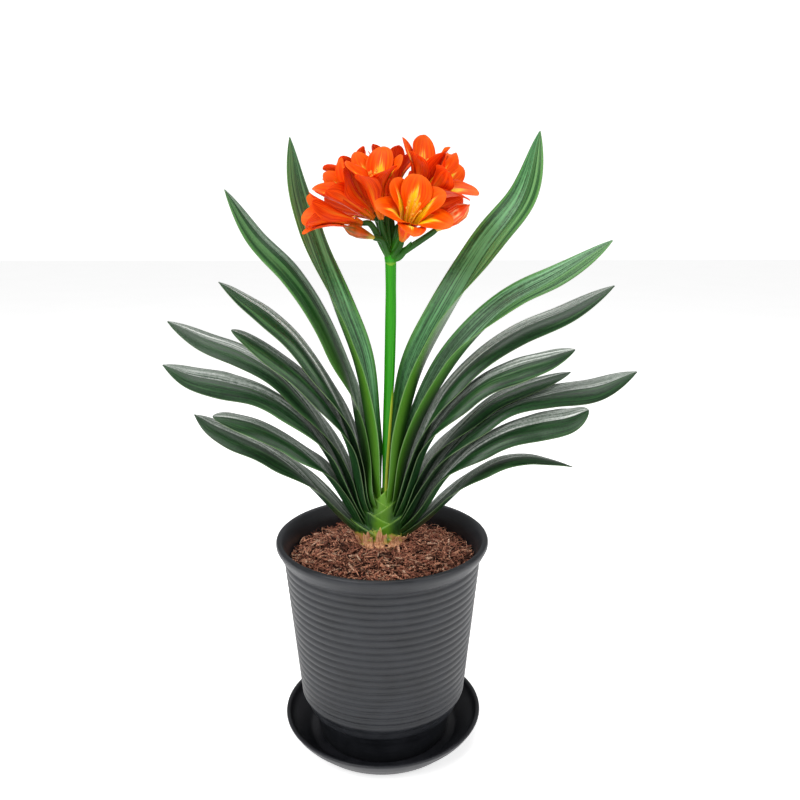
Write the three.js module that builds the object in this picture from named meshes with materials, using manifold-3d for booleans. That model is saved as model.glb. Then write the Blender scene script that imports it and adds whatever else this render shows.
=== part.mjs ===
// A potted clivia: strap leaves in a two-sided fan, a scape with an umbel of trumpet
// blooms, coarse soil, a ribbed pot and its saucer. Millimetres, +Z up. The origin is the
// centre of the saucer's underside, the leaf fan lies along X and -Y is the front.
import * as THREE from "three";
import { mergeVertices } from "three/addons/utils/BufferGeometryUtils.js";
import Module from "manifold-3d";

const wasm = await Module();
wasm.setup();

// ---------------------------------------------------------------- driving dimensions
const GAP = 0.35; // clear space between pieces that touch on the real plant
const ROUND_SIDES = 28; // facets round the pot, the saucer and the soil

// Saucer
const SAUCER_RIM_RADIUS = 105.5;
const SAUCER_BASE_RADIUS = 84;
const SAUCER_HEIGHT = 26;
const SAUCER_FLOOR = 2.6;

// Pot
const POT_RIM_RADIUS = 110;
const POT_TOP = 224;
const POT_FOOT = SAUCER_FLOOR + GAP;
const FOOT_RADIUS = 70;
const BODY_LOW = 50;
const BODY_LOW_RADIUS = 86;
const BODY_HIGH = 204;
const BODY_HIGH_RADIUS = 101;
const RIB_COUNT = 20;
const RIB_HEIGHT = 1.3;
const POT_WALL = 3.2;
const POT_FLOOR = 8;

// Soil
const SOIL_EDGE_HEIGHT = 200;
const SOIL_CROWN_HEIGHT = 216;
const SOIL_RELIEF = 1.6;
const SOIL_RINGS = [92, 79, 65, 50, 36];

// Crown: sheaths of the leaf bases, nested cups with slanting tops on alternate sides
const CROWN_X = -1;
const CROWN_FOOT = 190;
const CROWN_FOOT_RADIUS = 22.5;
const SHEATH_COUNT = 6;
const SHEATH_TOP = 271; // where the innermost sheath's edge crosses the middle
const SHEATH_STEP = 8.4;
const SHEATH_SLANT = 0.74; // rise of an edge per millimetre towards its leaf
const SHEATH_SLANT_STEP = 0.07; // the outer sheaths are cut flatter
const SHEATH_SIDES = 16;
// Half-widths of a sheath across the fan and from front to back, at three heights. Each
// pair is the innermost sheath's value and what every further one adds.
const SHEATH_AT_SOIL = { across: [14.4, 1.65], deep: [14, 1.7], above: 3, ends: 1 };
const SHEATH_BELOW_EDGE = { across: [12, 2.8], deep: [11.6, 1.65], above: -8, ends: 1.2 };
const SHEATH_ABOVE_EDGE = { across: [9.5, 5.4], deep: [8.5, 2.5], above: 24, ends: 1.5 };

// Leaves
const LEAF_ROWS = 11;
const LEAF_PROFILE_STEPS = 8;
const LEAF_THICKNESS = { midrib: 2.0, margin: 1.2 };
const LEAF_FLARE = [0.52, 0.78, 1, 1, 1]; // width along the blade, from base to tip
const LEAF_TAPER = 0.36; // share of the length that narrows to the tip
const LEAF_TIP_POWER = 0.85; // below 1 the outline is rounded
const LEAF_TIP_HALF_WIDTH = 1.4;
const LEAF_TIP_THINNING = 0.6; // the last row beside the others
const LEAF_CLEAR = 3; // between the middle surfaces of neighbouring blades
const LEAF_PASSES = 5;
const LEAF_BESIDE = 2; // a point this far off a blade's margin is already clear

// Scape and umbel
const SCAPE_RADII = [3.4, 3, 3, 4.1, 4.8, 5.4, 5.5, 5.1, 5.4];
const SCAPE_SIDES = 10;
const SCAPE_DEPTH = 0.8; // front to back, beside its width
const SCAPE_SOCKET = 4.2;
const HUB = [9.5, 0, 508];
const HUB_RADIUS = 6.4;
const BRACT_LINE = [HUB, [18, -7, 510], [29, -9, 524]];
const BRACT_RADII = [2.6, 3.4, 1];
const BRACT_DEPTH = 0.4; // beside its width
const PEDICEL_RADII = [4.4, 3.2, 2.5];
const UMBEL_CENTRE = [9, 0, 526];

// Blooms
const TEPAL_COUNT = 6;
const TEPAL_STEPS = 20; // steps along the curve of a tepal
const TEPAL_ROWS = [3, 7, 12, 17, 20]; // steps where a row of points stands
const TEPAL_THICKNESS = 0.8;
const TEPAL_START_RADIUS = 2.8;
const OUTER_TEPAL_STEP = 2.2; // how far the outer whorl stands behind the inner one
const OUTER_TEPAL_SHARE = 0.82; // its width beside that of an inner tepal
const TEPAL_HEADING = [12, 9, 15, 34, 52, 60]; // degrees off the axis, base to tip
const TEPAL_CUPPING = 0.95; // 1 would wrap each tepal round the bloom's axis
const TEPAL_LEAST_CUPPING = 14; // degrees over half a width
const TEPAL_MOST_CUPPING = [27, 27, 46, 55, 55, 55];
const TEPAL_WIDTH = [0.3, 0.44, 0.8, 1, 1];
const TEPAL_FULL = 0.8; // where the list above ends
const TEPAL_TIP = 0.72; // where the rounded tip begins
const TEPAL_TIP_SHARE = 0.3; // the tip is blunt
const TUBE_FOOT_RADIUS = 2.2;
const TUBE_RADIUS = 4;
const TUBE_LENGTH = 6;
const BLOOM_MIDDLE = 0.7; // share of a bloom's length
const CELL_MARGIN = 0.95; // between a tepal's middle surface and a neighbour's space
const WHORL_MARGIN = 1.3; // more for the inner whorl, so that it stays inside the outer one
const CELL_PRESS = 5; // how far a tepal may lean into that space before it is bent
const CELL_SOFTNESS = 1.5;
const SPREAD_STEP = 0.1; // a crowded tepal closes by this share of its spread
const LEAST_SPREAD = 0.2;

// Stamens
const FILAMENT_RADII = [0.65, 0.5, 1.1];
const FILAMENT_SPREAD = 0.32; // share of the way from the axis to the tepal outside it
const STYLE_LENGTH = 0.7; // share of a tepal's length
const STAMEN_DISC = { radius: 1.6, height: 1.6 };

// ---------------------------------------------------------------- colours
const COLOURS = {
  pot: [0x3f4145, 0.45],
  saucer: [0x35363a, 0.4],
  soil: [0x745045, 1],
  crown: [0x5f8a2c, 0.5],
  leaf: [0x2e5a34, 0.4],
  scape: [0x35900a, 0.45],
  bloom: [0xf4500c, 0.5],
  stamens: [0xf2b93c, 0.6],
  bud: [0xd2561a, 0.5],
};

// ---------------------------------------------------------------- the leaves
// side: -1 left, 1 right. points: the midrib from base to tip. roll: how far the upper
// face turns to the front. fold and droop: slope of each half beside the midrib and at
// its margin. The lists run from base to tip in even steps, angles in degrees.
const UPRIGHT = { fold: [36, 46, 50, 26, 2], droop: [46, 54, 52, 18, -4] };
const ARCHING = { fold: [42, 44, 28, 16, 6], droop: [54, 24, -50, -40, -14] };

const LEAVES = {
  leaf_left_1: {
    side: -1, width: 22, fold: [34, 44, 42, 12, 2], droop: [44, 50, 42, 2, -4],
    roll: [0, 8, 26, 26, 24], tipPower: 0.75, taper: 0.24,
    points: [[-7, 0, 244], [-11.5, -1, 292], [-15.5, -4, 343], [-25.5, -6, 404],
      [-45.5, 2, 461], [-65.5, 14, 520], [-80, 23, 571], [-86.5, 26, 621]],
  },
  leaf_left_2: {
    side: -1, width: 20, fold: [38, 46, 14, 2, 0], droop: [48, 44, -40, -40, -14],
    roll: [0, 4, 22, 28, 28], tipPower: 0.75, taper: 0.26,
    points: [[-6, 0, 238], [-17, 2, 290], [-25.5, 5, 340], [-35.5, 9, 394],
      [-57.5, 13, 449], [-86, 17, 495], [-122, 21, 531.5], [-151, 26, 572.5]],
  },
  leaf_left_3: {
    side: -1, width: 20, ...ARCHING, roll: [0, 6, 16, 20, 22], tipPower: 0.8, taper: 0.36,
    points: [[-9, 0, 234], [-21, -1, 285], [-35, -3, 337], [-57, -5, 388],
      [-82.5, -8, 428.5], [-108, -10, 454.5], [-132, -13, 472], [-153, -16, 487]],
  },
  leaf_left_4: {
    side: -1, width: 20, ...ARCHING, roll: [0, 6, 14, 14, 16], tipPower: 0.6, taper: 0.3,
    points: [[-11, 0, 231], [-25, -3, 274], [-34, -7, 320], [-53, -11, 363],
      [-77, -16, 394], [-100, -22, 415.5], [-121, -28, 432], [-140, -34, 444]],
  },
  leaf_left_5: {
    side: -1, width: 20, ...ARCHING, roll: [0, 6, 14, 26, 30], tipPower: 0.75, taper: 0.27,
    points: [[-13, 0, 227], [-31, 3, 270], [-50, 7, 313], [-75, 12, 355],
      [-106, 17, 390], [-143, 23, 412.5], [-181, 29, 426], [-217.5, 36, 443]],
  },
  leaf_left_6: {
    side: -1, width: 21, ...ARCHING, roll: [0, 6, 16, 32, 34], tipPower: 0.8, taper: 0.3,
    points: [[-15, 0, 222], [-36, -1, 263], [-56, -2, 310], [-83, -4, 349.5],
      [-118, -6, 376], [-154, -8, 388], [-186, -10, 395.5], [-212, -12, 407]],
  },
  leaf_left_7: {
    side: -1, width: 19, ...ARCHING, roll: [0, 4, 10, 14, 20], tipPower: 0.6, taper: 0.3,
    points: [[-17, 0, 217], [-34, -3, 254], [-54, -7, 288], [-76.5, -13, 314.5],
      [-99, -18, 333.5], [-121, -25, 348], [-142, -31, 356.5], [-161, -38, 362]],
  },
  leaf_left_8: {
    side: -1, width: 21, ...ARCHING, roll: [0, 6, 14, 24, 30],
    points: [[-17, 0, 217], [-43, 2, 241], [-68, 4, 268.5], [-94, 7, 295],
      [-123, 10, 315], [-150, 13, 328], [-173, 16, 338], [-192.5, 20, 349]],
  },
  leaf_right_1: {
    side: 1, width: 24.5, ...UPRIGHT, roll: [0, 8, 26, 36, 40], tipPower: 0.75, taper: 0.25,
    points: [[9.5, 0, 242], [18, 1, 292], [25, 3, 341], [40.5, 5, 398],
      [70, 8, 456], [102.5, 10, 511], [138, 13, 563], [152, 16, 626]],
  },
  leaf_right_2: {
    side: 1, width: 20, ...UPRIGHT, roll: [0, 6, 18, 26, 28], tipPower: 0.7, taper: 0.22,
    points: [[12, 0, 236], [22, 3, 289], [37, 3, 337], [59, 1, 382],
      [86, -6, 424], [121, -17, 462], [166, -21, 489.5], [215.5, -26, 525.5]],
  },
  leaf_right_3: {
    side: 1, width: 20.5, ...ARCHING, roll: [0, 6, 16, 24, 28], tipPower: 0.75, taper: 0.25,
    points: [[13.5, 0, 232], [28, -2, 282], [43, -3, 327], [63, -1, 372],
      [95, 5, 407], [138, 17, 434], [189, 21, 455], [235.5, 26, 479]],
  },
  leaf_right_4: {
    side: 1, width: 21, ...ARCHING, roll: [0, 6, 16, 26, 28], tipPower: 0.7, taper: 0.32,
    points: [[15, 0, 230], [32, -2, 274], [46, -5, 319], [71, -8, 359],
      [100, -12, 387], [132, -15, 403], [161.5, -20, 413], [186.5, -24, 422.5]],
  },
  leaf_right_5: {
    side: 1, width: 19, ...ARCHING, roll: [0, 4, 8, 12, 14], tipPower: 0.7,
    points: [[16, 0, 225], [35, 3, 267], [56, 7, 304], [84, 13, 336],
      [114, 18, 361], [143, 25, 374], [172, 31, 382], [198.5, 38, 388]],
  },
  leaf_right_6: {
    side: 1, width: 21, ...ARCHING, roll: [0, 6, 14, 28, 32], tipPower: 0.75, taper: 0.24,
    points: [[17, -1, 223], [38, 0, 261], [62, 2, 298], [92, 3, 334],
      [127, 4, 362], [170, 5, 374], [217, 7, 378], [258.5, 8, 394]],
  },
  leaf_right_7: {
    side: 1, width: 21, ...ARCHING, roll: [0, 6, 18, 30, 34], tipPower: 0.55, taper: 0.26,
    points: [[17, 0, 219], [43, -2, 249], [64, -6, 285], [91, -10, 315],
      [123.5, -14, 336], [155, -19, 347], [182, -25, 354], [201.5, -30, 364]],
  },
  leaf_right_8: {
    side: 1, width: 17, ...ARCHING, roll: [0, 4, 6, 0, -4],
    points: [[17, 0, 216], [46, 1, 238], [72, 3, 262.5], [97, 5, 286],
      [123, 7, 300], [150, 9, 304], [176, 11, 299], [201, 14, 291]],
  },
};

// ---------------------------------------------------------------- the blooms
// base: foot of the tube. azimuth: 0 faces the front, 90 the right. spin turns the
// tepals about the axis. open scales how far they spread. stamens: an open mouth.
const BLOOMS = [
  { base: [20, -19, 526], azimuth: 18, elevation: 44, spin: 12, open: 1.3, length: 66,
    width: 16, stamens: true },
  { base: [-17, -10, 541], azimuth: -76, elevation: 12, spin: 20, open: 0.6, length: 58,
    width: 12, stamens: true },
  { base: [-6, -1, 546], azimuth: -66, elevation: 34, spin: 30, open: 0.85, length: 64,
    width: 13, stamens: true },
  { base: [0, -7, 545], azimuth: -14, elevation: 62, spin: 20, open: 0.8, length: 66,
    width: 14, stamens: true },
  { base: [7, 6, 549], azimuth: 150, elevation: 80, spin: 10, open: 0.7, length: 66,
    width: 12, stamens: false },
  { base: [26, 3, 555], azimuth: 45, elevation: 55, spin: 12, open: 1.2, length: 70,
    width: 14, stamens: true },
  { base: [32, -8, 553], azimuth: 62, elevation: 42, spin: 10, open: 1.1, length: 64,
    width: 14, stamens: true },
  { base: [24, 9, 540], azimuth: 104, elevation: 26, spin: 0, open: 0.6, length: 60,
    width: 11, stamens: false },
  { base: [-7, 8, 550], azimuth: -95, elevation: 60, spin: 0, open: 0.9, length: 64,
    width: 13, stamens: false },
  { base: [4, 17, 545], azimuth: -125, elevation: 22, spin: 0, open: 0.9, length: 64,
    width: 13, stamens: true },
  { base: [20, 16, 540], azimuth: 140, elevation: 34, spin: 0, open: 0.9, length: 62,
    width: 13, stamens: false },
];

// The buds are placed in the same way. girth scales BUD_RADII.
const BUDS = {
  bud_left: { base: [-6, -13, 527.5], azimuth: -65, elevation: 18, length: 33, girth: 1.1 },
  bud_right: { base: [52, -12, 535], azimuth: 68, elevation: 35, length: 40, girth: 1.6 },
};
const BUD_RADII = [1.4, 3.6, 5.2, 4.8, 0.8];

// ---------------------------------------------------------------- helpers
const vec = (x, y, z) => new THREE.Vector3(x, y, z);
const radians = THREE.MathUtils.degToRad;
const smooth = (t) => THREE.MathUtils.smoothstep(t, 0, 1);

// Eases from one evenly spaced value to the next as t runs from 0 to 1.
function keyed(values, t) {
  const at = THREE.MathUtils.clamp(t, 0, 1) * (values.length - 1);
  const i = Math.min(values.length - 2, Math.floor(at));
  return values[i] + (values[i + 1] - values[i]) * smooth(at - i);
}

// A repeatable value from 0 to 1 for a number.
function scatter(n) {
  const s = Math.sin(n * 12.9898 + 4.1414) * 43758.5453;
  return s - Math.floor(s);
}

// The closed surface as a solid, turned face out when its triangles wind the other way.
function toSolid(geometry) {
  const bare = geometry.clone();
  bare.deleteAttribute("normal");
  bare.deleteAttribute("uv");
  const merged = mergeVertices(bare, 1e-4);
  const vertProperties = new Float32Array(merged.attributes.position.array);
  const triVerts = new Uint32Array(merged.index.array);
  const solid = new wasm.Manifold(new wasm.Mesh({ numProp: 3, vertProperties, triVerts }));
  if (solid.volume() > 0) return solid;
  for (let i = 0; i < triVerts.length; i += 3) {
    [triVerts[i], triVerts[i + 1]] = [triVerts[i + 1], triVerts[i]];
  }
  return new wasm.Manifold(new wasm.Mesh({ numProp: 3, vertProperties, triVerts }));
}

function toGeometry(solid) {
  const mesh = solid.getMesh();
  const geometry = new THREE.BufferGeometry();
  geometry.setAttribute("position", new THREE.BufferAttribute(mesh.vertProperties, 3));
  geometry.setIndex(new THREE.BufferAttribute(mesh.triVerts, 1));
  return geometry;
}

function largestPiece(solid) {
  return solid.decompose().reduce((a, b) => (b.volume() > a.volume() ? b : a));
}

function facesToSolid(points, faces) {
  const geometry = new THREE.BufferGeometry().setFromPoints(points);
  geometry.setIndex(faces.flat());
  return toSolid(geometry);
}

// Closed surface over rings of points that each run once round the form, with flat ends.
function loft(rings) {
  const sides = rings[0].length;
  const faces = [];
  for (let i = 0; i + 1 < rings.length; i++) {
    for (let j = 0; j < sides; j++) {
      const a = i * sides + j;
      const b = i * sides + ((j + 1) % sides);
      faces.push([a, b, b + sides], [a, b + sides, a + sides]);
    }
  }
  const end = (rings.length - 1) * sides;
  for (let j = 1; j + 1 < sides; j++) {
    faces.push([0, j + 1, j], [end, end + j, end + j + 1]);
  }
  return facesToSolid(rings.flat(), faces);
}

// Thin blade about a grid of points, with both faces split into triangles alike.
function blade(rows, thicknessAt) {
  const columns = rows[0].length;
  const upper = [];
  const lower = [];
  rows.forEach((row, i) =>
    row.forEach((point, j) => {
      const along = rows[Math.min(i + 1, rows.length - 1)][j].clone();
      along.sub(rows[Math.max(i - 1, 0)][j]);
      const across = row[Math.min(j + 1, columns - 1)].clone();
      across.sub(row[Math.max(j - 1, 0)]);
      const isTip = i === rows.length - 1;
      const offset = along.cross(across).setLength(thicknessAt(j, isTip) / 2);
      upper.push(point.clone().add(offset));
      lower.push(point.clone().sub(offset));
    }),
  );
  const under = upper.length;
  const faces = [];
  const quad = (a, b, c, d) => faces.push([a, b, c], [a, c, d]);
  for (let i = 0; i + 1 < rows.length; i++) {
    const left = i * columns;
    const right = left + columns - 1;
    for (let a = left; a < right; a++) {
      const b = a + columns;
      faces.push([a, a + 1, b + 1], [a, b + 1, b]);
      faces.push([a + under, b + 1 + under, a + 1 + under]);
      faces.push([a + under, b + under, b + 1 + under]);
    }
    quad(left, left + columns, left + columns + under, left + under);
    quad(right, right + under, right + columns + under, right + columns);
  }
  const end = (rows.length - 1) * columns;
  for (let j = 0; j + 1 < columns; j++) {
    quad(j, j + under, j + 1 + under, j + 1);
    quad(end + j, end + j + 1, end + j + 1 + under, end + j + under);
  }
  return facesToSolid(upper.concat(lower), faces);
}

const throughPoints = (points) =>
  new THREE.CatmullRomCurve3(points.map((p) => vec(...p)), false, "catmullrom", 0.5);

// Stem of changing radius along a curve; depth squeezes it from front to back.
function stem(points, radii, sides, depth = 1, grow = 0) {
  const curve = throughPoints(points);
  const rings = radii.map((radius, i) => {
    const t = i / (radii.length - 1);
    const along = curve.getTangent(t);
    const reference = Math.abs(along.y) < 0.9 ? vec(0, 1, 0) : vec(1, 0, 0);
    const sideways = reference.cross(along).normalize();
    const forward = along.clone().cross(sideways);
    return Array.from({ length: sides }, (_, j) => {
      const angle = (2 * Math.PI * (j + 0.5)) / sides;
      return curve
        .getPoint(t)
        .addScaledVector(sideways, Math.cos(angle) * (radius + grow))
        .addScaledVector(forward, Math.sin(angle) * (radius * depth + grow));
    });
  });
  return loft(rings);
}

// Turned form; three.js turns about Y, and the pot stands along Z.
function lathe(profile) {
  const points = profile.map(([radius, height]) => new THREE.Vector2(radius, height));
  return toSolid(new THREE.LatheGeometry(points, ROUND_SIDES).rotateX(Math.PI / 2));
}

// ---------------------------------------------------------------- saucer, pot, soil
function makeSaucer() {
  const rim = SAUCER_RIM_RADIUS;
  const base = SAUCER_BASE_RADIUS;
  const top = SAUCER_HEIGHT;
  return lathe([
    [0, 0],
    [base - 2, 0],
    [base + 3, 2.5],
    [rim - 7, 14],
    [rim - 2, top - 5],
    [rim, top - 1.6],
    [rim - 1.6, top],
    [rim - 4, top - 1],
    [rim - 6, top - 6],
    [rim - 11, 15],
    [base - 2, SAUCER_FLOOR + 2.4],
    [base - 6, SAUCER_FLOOR],
    [0, SAUCER_FLOOR],
  ]);
}

const POT_INSIDE = [
  [BODY_HIGH_RADIUS - POT_WALL, BODY_HIGH - 4],
  [BODY_LOW_RADIUS - POT_WALL, BODY_LOW + 4],
  [FOOT_RADIUS + 2, BODY_LOW - 10],
  [FOOT_RADIUS - POT_WALL, POT_FLOOR],
];

function makePot() {
  const bodyRadius = (z) =>
    THREE.MathUtils.mapLinear(z, BODY_LOW, BODY_HIGH, BODY_LOW_RADIUS, BODY_HIGH_RADIUS);
  const foot = [
    [0, POT_FOOT],
    [FOOT_RADIUS, POT_FOOT],
    [FOOT_RADIUS + 5.5, BODY_LOW - 14],
    [BODY_LOW_RADIUS - 5, BODY_LOW - 12],
    [BODY_LOW_RADIUS - 4, BODY_LOW - 5],
  ];
  const ribs = [];
  const pitch = (BODY_HIGH - BODY_LOW) / RIB_COUNT;
  for (let i = 0; i < RIB_COUNT; i++) {
    const low = BODY_LOW + i * pitch;
    ribs.push([bodyRadius(low), low]);
    ribs.push([bodyRadius(low + pitch / 2) + RIB_HEIGHT, low + pitch / 2]);
  }
  const rim = [
    [BODY_HIGH_RADIUS, BODY_HIGH],
    [BODY_HIGH_RADIUS + 3, BODY_HIGH + 4],
    [POT_RIM_RADIUS - 3, BODY_HIGH + 9],
    [POT_RIM_RADIUS, POT_TOP - 5],
    [POT_RIM_RADIUS - 0.5, POT_TOP - 1],
    [POT_RIM_RADIUS - 3, POT_TOP],
    [POT_RIM_RADIUS - 6, POT_TOP - 1.5],
    [BODY_HIGH_RADIUS - POT_WALL + 1.5, BODY_HIGH + 9],
  ];
  return lathe([...foot, ...ribs, ...rim, ...POT_INSIDE, [0, POT_FLOOR]]);
}

// Mounded to the crown, with the lumps of coarse bark and fibre.
function soilHeight(radius, spoke) {
  const outward = (radius - CROWN_FOOT_RADIUS) / (SOIL_RINGS[0] - CROWN_FOOT_RADIUS);
  const mound = 1 - smooth(outward);
  const lump = 2 * scatter(radius * 37 + spoke) - 1;
  const height = SOIL_EDGE_HEIGHT + (SOIL_CROWN_HEIGHT - SOIL_EDGE_HEIGHT) * mound;
  return height + SOIL_RELIEF * lump;
}

function makeSoil() {
  const ring = (radius, heightAt) =>
    Array.from({ length: ROUND_SIDES }, (_, j) => {
      const angle = (2 * Math.PI * j) / ROUND_SIDES;
      return vec(Math.sin(angle) * radius, -Math.cos(angle) * radius, heightAt(j));
    });
  const clear = 2 * GAP;
  const side = POT_INSIDE.map(([radius, height]) =>
    ring(radius - clear, () => Math.min(height + clear, SOIL_EDGE_HEIGHT - 3)),
  );
  const top = SOIL_RINGS.map((radius) => ring(radius, (j) => soilHeight(radius, j)));
  const middle = ring(CROWN_FOOT_RADIUS / 2, () => SOIL_CROWN_HEIGHT);
  const bore = new THREE.CylinderGeometry(1, 1, 100, 24).rotateX(Math.PI / 2);
  const bored = (CROWN_FOOT_RADIUS + GAP) / Math.cos(Math.PI / 24);
  bore.scale(bored, bored, 1).translate(CROWN_X, 0, CROWN_FOOT - GAP + 50);
  return largestPiece(loft([...side.reverse(), ...top, middle]).subtract(toSolid(bore)));
}

// The room taken by the top of the soil, which the lowest leaves stay clear of.
function makeMound() {
  const top = SOIL_CROWN_HEIGHT + SOIL_RELIEF + GAP;
  return lathe([
    [0, SOIL_EDGE_HEIGHT],
    [SOIL_RINGS[3], SOIL_EDGE_HEIGHT],
    [SOIL_RINGS[3], top - 4],
    [SOIL_RINGS[4], top],
    [0, top],
  ]);
}

// ---------------------------------------------------------------- crown and scape
// A cosine or sine made to draw an oval with sharper ends.
function pointed(value, power) {
  return Math.sign(value) * Math.abs(value) ** power;
}

// One sheath: an oval cup, sharper at its ends towards the top, where a plane that
// rises towards its leaf cuts it.
function makeSheath(index, grow) {
  const side = index % 2 ? -1 : 1;
  const middle = SHEATH_TOP - index * SHEATH_STEP;
  const level = (base, { across, deep, above, ends }) =>
    [base + above, across[0] + across[1] * index, deep[0] + deep[1] * index, ends];
  const levels = [
    [CROWN_FOOT - grow, CROWN_FOOT_RADIUS, CROWN_FOOT_RADIUS, 1],
    level(SOIL_CROWN_HEIGHT, SHEATH_AT_SOIL),
    level(middle, SHEATH_BELOW_EDGE),
    level(middle, SHEATH_ABOVE_EDGE),
  ];
  const rings = levels.map(([height, across, deep, ends]) =>
    Array.from({ length: SHEATH_SIDES }, (_, j) => {
      const angle = (2 * Math.PI * (j + 0.5)) / SHEATH_SIDES;
      const x = CROWN_X + pointed(Math.cos(angle), ends) * (across + grow);
      return vec(x, pointed(Math.sin(angle), ends) * (deep + grow), height);
    }),
  );
  const above = new THREE.BoxGeometry(200, 200, 100).translate(0, 0, 50 + grow);
  const slant = SHEATH_SLANT - index * SHEATH_SLANT_STEP;
  above.rotateY(-side * Math.atan(slant)).translate(CROWN_X, 0, middle);
  return loft(rings).subtract(toSolid(above));
}

function makeSheaths(grow) {
  let body = makeSheath(0, grow);
  for (let i = 1; i < SHEATH_COUNT; i++) body = body.add(makeSheath(i, grow));
  return body;
}

const SCAPE_LINE = [[3, -3, 238], [3, -3, 276], [4.9, -4, 330], [8, -2, 399],
  [9.4, -1, 460], HUB];

// The straight hole in the crown that the foot of the scape stands in.
function makeSocket() {
  const [x, y, foot] = SCAPE_LINE[0];
  const ends = [[x, y, foot - 1], [x, y, SHEATH_TOP + 30]];
  return stem(ends, [SCAPE_SOCKET, SCAPE_SOCKET], 12);
}

function makeScape() {
  const stalk = stem(SCAPE_LINE, SCAPE_RADII, SCAPE_SIDES, SCAPE_DEPTH);
  const hub = new THREE.SphereGeometry(HUB_RADIUS, 8, 5).translate(...HUB);
  const bract = stem(BRACT_LINE, BRACT_RADII, 4, BRACT_DEPTH);
  const fixed = stalk.add(toSolid(hub)).add(bract);
  const stalks = [...BLOOMS, ...Object.values(BUDS)].map((flower) => {
    const { axis } = flowerAxes(flower);
    const foot = vec(...flower.base).addScaledVector(axis, -GAP);
    const bend = foot.clone().addScaledVector(axis, -9);
    const low = vec(...HUB).lerp(bend, 0.4);
    low.z -= 1;
    return stem([HUB, low.toArray(), bend.toArray(), foot.toArray()], PEDICEL_RADII, 5);
  });
  return stalks.reduce((whole, stalk) => whole.add(stalk), fixed);
}

// ---------------------------------------------------------------- leaves
// Points across one half of a leaf: outwards and upwards from the midrib.
function halfProfile(fold, droop, width) {
  const points = [];
  let out = 0;
  let up = 0;
  for (let i = 0; i < LEAF_PROFILE_STEPS; i++) {
    const share = (i + 0.5) / LEAF_PROFILE_STEPS;
    const slope = radians(fold + (droop - fold) * smooth(share));
    out += (Math.cos(slope) * width) / LEAF_PROFILE_STEPS;
    up += (Math.sin(slope) * width) / LEAF_PROFILE_STEPS;
    points.push([out, up]);
  }
  return [points[LEAF_PROFILE_STEPS / 2 - 1], points.at(-1)];
}

function leafRow(leaf, curve, t) {
  const point = curve.getPoint(t);
  const along = curve.getTangent(t);
  const front = vec(0, -1, 0);
  front.addScaledVector(along, -along.dot(front)).normalize();
  const upper = along.clone().cross(front).multiplyScalar(-leaf.side);
  const roll = radians(keyed(leaf.roll, t));
  const face = upper.clone().multiplyScalar(Math.cos(roll));
  face.addScaledVector(front, Math.sin(roll));
  const across = front.clone().multiplyScalar(Math.cos(roll));
  across.addScaledVector(upper, -Math.sin(roll));
  const narrowing = Math.min(1, (1 - t) / (leaf.taper ?? LEAF_TAPER));
  const tip = Math.sin((Math.PI / 2) * narrowing) ** (leaf.tipPower ?? LEAF_TIP_POWER);
  const width = Math.max(LEAF_TIP_HALF_WIDTH, leaf.width * keyed(LEAF_FLARE, t) * tip);
  const [inner, outer] = halfProfile(keyed(leaf.fold, t), keyed(leaf.droop, t), width);
  const at = (out, up) => point.clone().addScaledVector(across, out).addScaledVector(face, up);
  return [
    at(-outer[0], outer[1]),
    at(-inner[0], inner[1]),
    point,
    at(inner[0], inner[1]),
    at(outer[0], outer[1]),
  ];
}

// Triangles of a blade's middle surface, wound so that their normals leave its upper face.
function leafFaces(rows, side) {
  const faces = [];
  const add = (a, b, c) => faces.push(new THREE.Triangle(a, ...(side < 0 ? [b, c] : [c, b])));
  for (let i = 0; i + 1 < rows.length; i++) {
    for (let j = 0; j + 1 < rows[i].length; j++) {
      add(rows[i][j], rows[i + 1][j + 1], rows[i][j + 1]);
      add(rows[i][j], rows[i + 1][j], rows[i + 1][j + 1]);
    }
  }
  return faces;
}

// Parts two blades where a point of one stands too low over a face of the other, measured
// along the face's normal times side. Either the point moves or the face under it.
function part(points, faces, side, moveFace) {
  const nearest = vec(0, 0, 0);
  const normal = vec(0, 0, 0);
  for (const point of points) {
    let best = Infinity;
    let under;
    let offset;
    for (const face of faces) {
      face.closestPointToPoint(point, nearest);
      if (nearest.distanceTo(point) >= best) continue;
      best = nearest.distanceTo(point);
      offset = point.clone().sub(nearest);
      under = face;
    }
    under.getNormal(normal);
    const height = side * offset.dot(normal);
    const beside = Math.sqrt(Math.max(0, best ** 2 - height ** 2));
    if (beside > LEAF_BESIDE || height > LEAF_CLEAR) continue;
    const move = side * (LEAF_CLEAR - height);
    if (moveFace) [under.a, under.b, under.c].forEach((p) => p.addScaledVector(normal, -move));
    else point.addScaledVector(normal, move);
  }
}

// Blades from the innermost outwards, each bent clear of the ones it grew around.
function makeLeaves() {
  const rowsOf = new Map();
  for (const [name, leaf] of Object.entries(LEAVES)) {
    const curve = throughPoints(leaf.points);
    const rows = [];
    for (let i = 0; i <= LEAF_ROWS; i++) rows.push(leafRow(leaf, curve, i / LEAF_ROWS));
    for (let pass = 0; pass < LEAF_PASSES; pass++) {
      for (const [other, placed] of rowsOf) {
        const outside = LEAVES[other].side === leaf.side;
        const placedFaces = leafFaces(placed, LEAVES[other].side);
        part(rows.flat(), placedFaces, outside ? -1 : 1, false);
        if (outside) part(placed.flat(), leafFaces(rows, leaf.side), 1, true);
      }
    }
    rows[0] = leafRow(leaf, curve, 0); // deep in the crown, where every blade is trimmed
    rowsOf.set(name, rows);
  }
  const { midrib, margin } = LEAF_THICKNESS;
  const thickness = (j, isTip) =>
    (midrib + ((margin - midrib) * Math.abs(j - 2)) / 2) * (isTip ? LEAF_TIP_THINNING : 1);
  const rooms = [];
  return [...rowsOf].map(([name, rows]) => {
    const whole = blade(rows, thickness);
    const trimmed = rooms.reduce((left, room) => left.subtract(room), whole);
    rooms.push(blade(rows, (j, isTip) => thickness(j, isTip) + 2 * GAP));
    return [name, trimmed];
  });
}

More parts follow.
